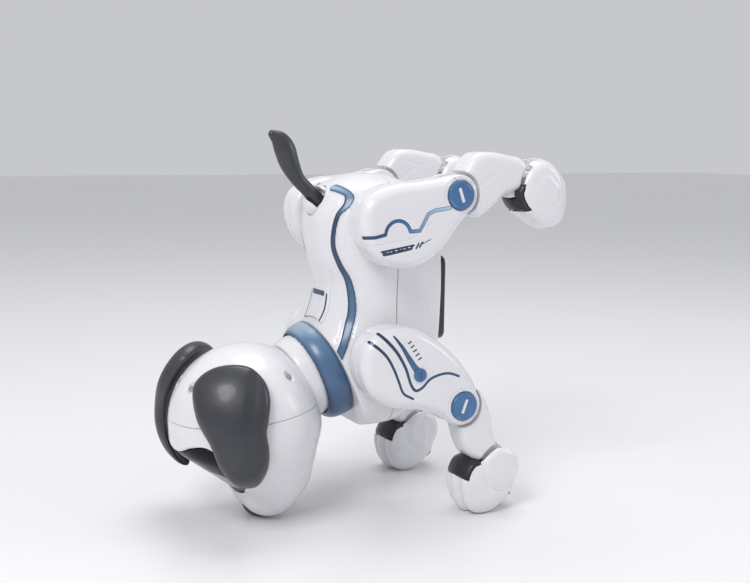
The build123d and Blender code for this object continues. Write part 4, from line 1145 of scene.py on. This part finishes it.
for kind, shape in LEGS.items():
    leg = Leg(kind, shape)
    make_thigh(leg)
    make_knee_cap(leg)
    make_shin(leg)
    make_paw(leg)

BUTTON = (14.0, 101.0)      # middle of the small disc on the front thigh


def button_disc(x, y, z):
    dx, dz = x - BUTTON[0], z - BUTTON[1]
    disc = slab(np.hypot(dx, dz) - 4.5, np.abs(-y - 67.2) - 1.1, 0.7)
    slot = np.hypot(dx, np.maximum(np.abs(dz) - 1.9, 0)) - 0.65
    return cut(disc, np.maximum(slot, 67.7 + y), 0.3)


build("front_{side}_shoulder_button", button_disc, (9, -68.6, 96), (19, -65.8, 106), 0.35, CAP_BLUE,
      "front_{side}_thigh", ["front_{side}_shoulder_disc"])


# ---- Studio ----
FLOOR_HALF = 6.0        # metres
CAMERA_PLACE = (-0.3322, -0.6677, 0.2524)
CAMERA_TURN = {"heading": 27.5, "pitch": 8.01, "roll": 0.72}
CAMERA_LENS = 52.8


def studio_floor():
    mesh = bpy.data.meshes.new("studio_floor")
    corners = [(-FLOOR_HALF, -FLOOR_HALF, 0), (FLOOR_HALF, -FLOOR_HALF, 0), (FLOOR_HALF, FLOOR_HALF, 0),
               (-FLOOR_HALF, FLOOR_HALF, 0)]
    mesh.from_pydata(corners, [], [(0, 1, 2, 3)])
    floor = bpy.data.objects.new("studio_floor", mesh)
    bpy.context.scene.collection.objects.link(floor)
    shader = Shader("pale_floor")
    shader.set(Base_Color=shader.mix(shader.noise(1.5), rgb(0.80, 0.80, 0.81), rgb(0.83, 0.83, 0.84)))
    shader.set(Roughness=0.32)
    mesh.materials.append(shader.material)


def area_light(name, location, target, size, power, colour):
    """A round panel light that points at the target."""
    data = bpy.data.lights.new(name, "AREA")
    data.shape = "DISK"
    data.size = size
    data.energy = power
    data.color = colour
    light = bpy.data.objects.new(name, data)
    light.location = location
    light.rotation_euler = (Vector(target) - Vector(location)).to_track_quat("-Z", "Y").to_euler()
    bpy.context.scene.collection.objects.link(light)


def studio_lights():
    """A pale room with a key light, a top light and a weak side light."""
    world = bpy.data.worlds.new("soft_room")
    world.use_nodes = True
    background = world.node_tree.nodes["Background"]
    background.inputs["Color"].default_value = (0.92, 0.93, 0.96, 1.0)
    background.inputs["Strength"].default_value = 0.62
    bpy.context.scene.world = world
    middle = (0.0, 0.0, 0.13)
    area_light("key_window", (-1.0, -0.7, 1.2), middle, 0.7, 13.0, (1.0, 0.99, 0.98))
    area_light("top_panel", (0.2, 0.3, 1.5), middle, 0.9, 8.0, (1.0, 1.0, 1.0))
    area_light("side_panel", (1.2, -0.6, 0.6), middle, 0.6, 3.0, (0.96, 0.98, 1.0))


def camera():
    """The photograph's view: a normal lens, looking slightly down on the near side."""
    heading, pitch, roll = (math.radians(CAMERA_TURN[key]) for key in ("heading", "pitch", "roll"))
    right = Vector((math.cos(heading), -math.sin(heading), 0))
    level = math.cos(pitch)
    forward = Vector((math.sin(heading) * level, math.cos(heading) * level, -math.sin(pitch)))
    up = right.cross(forward)
    across = right * math.cos(roll) + up * math.sin(roll)
    above = -right * math.sin(roll) + up * math.cos(roll)
    data = bpy.data.cameras.new("camera")
    data.sensor_width = 36.0
    data.sensor_fit = "HORIZONTAL"
    data.lens = CAMERA_LENS
    view = bpy.data.objects.new("camera", data)
    turned = Matrix((across, above, -forward)).transposed().to_4x4()
    view.matrix_world = Matrix.Translation(Vector(CAMERA_PLACE)) @ turned
    bpy.context.scene.collection.objects.link(view)
    bpy.context.scene.camera = view


studio_floor()
studio_lights()
camera()
bpy.context.scene.view_settings.view_transform = "Standard"
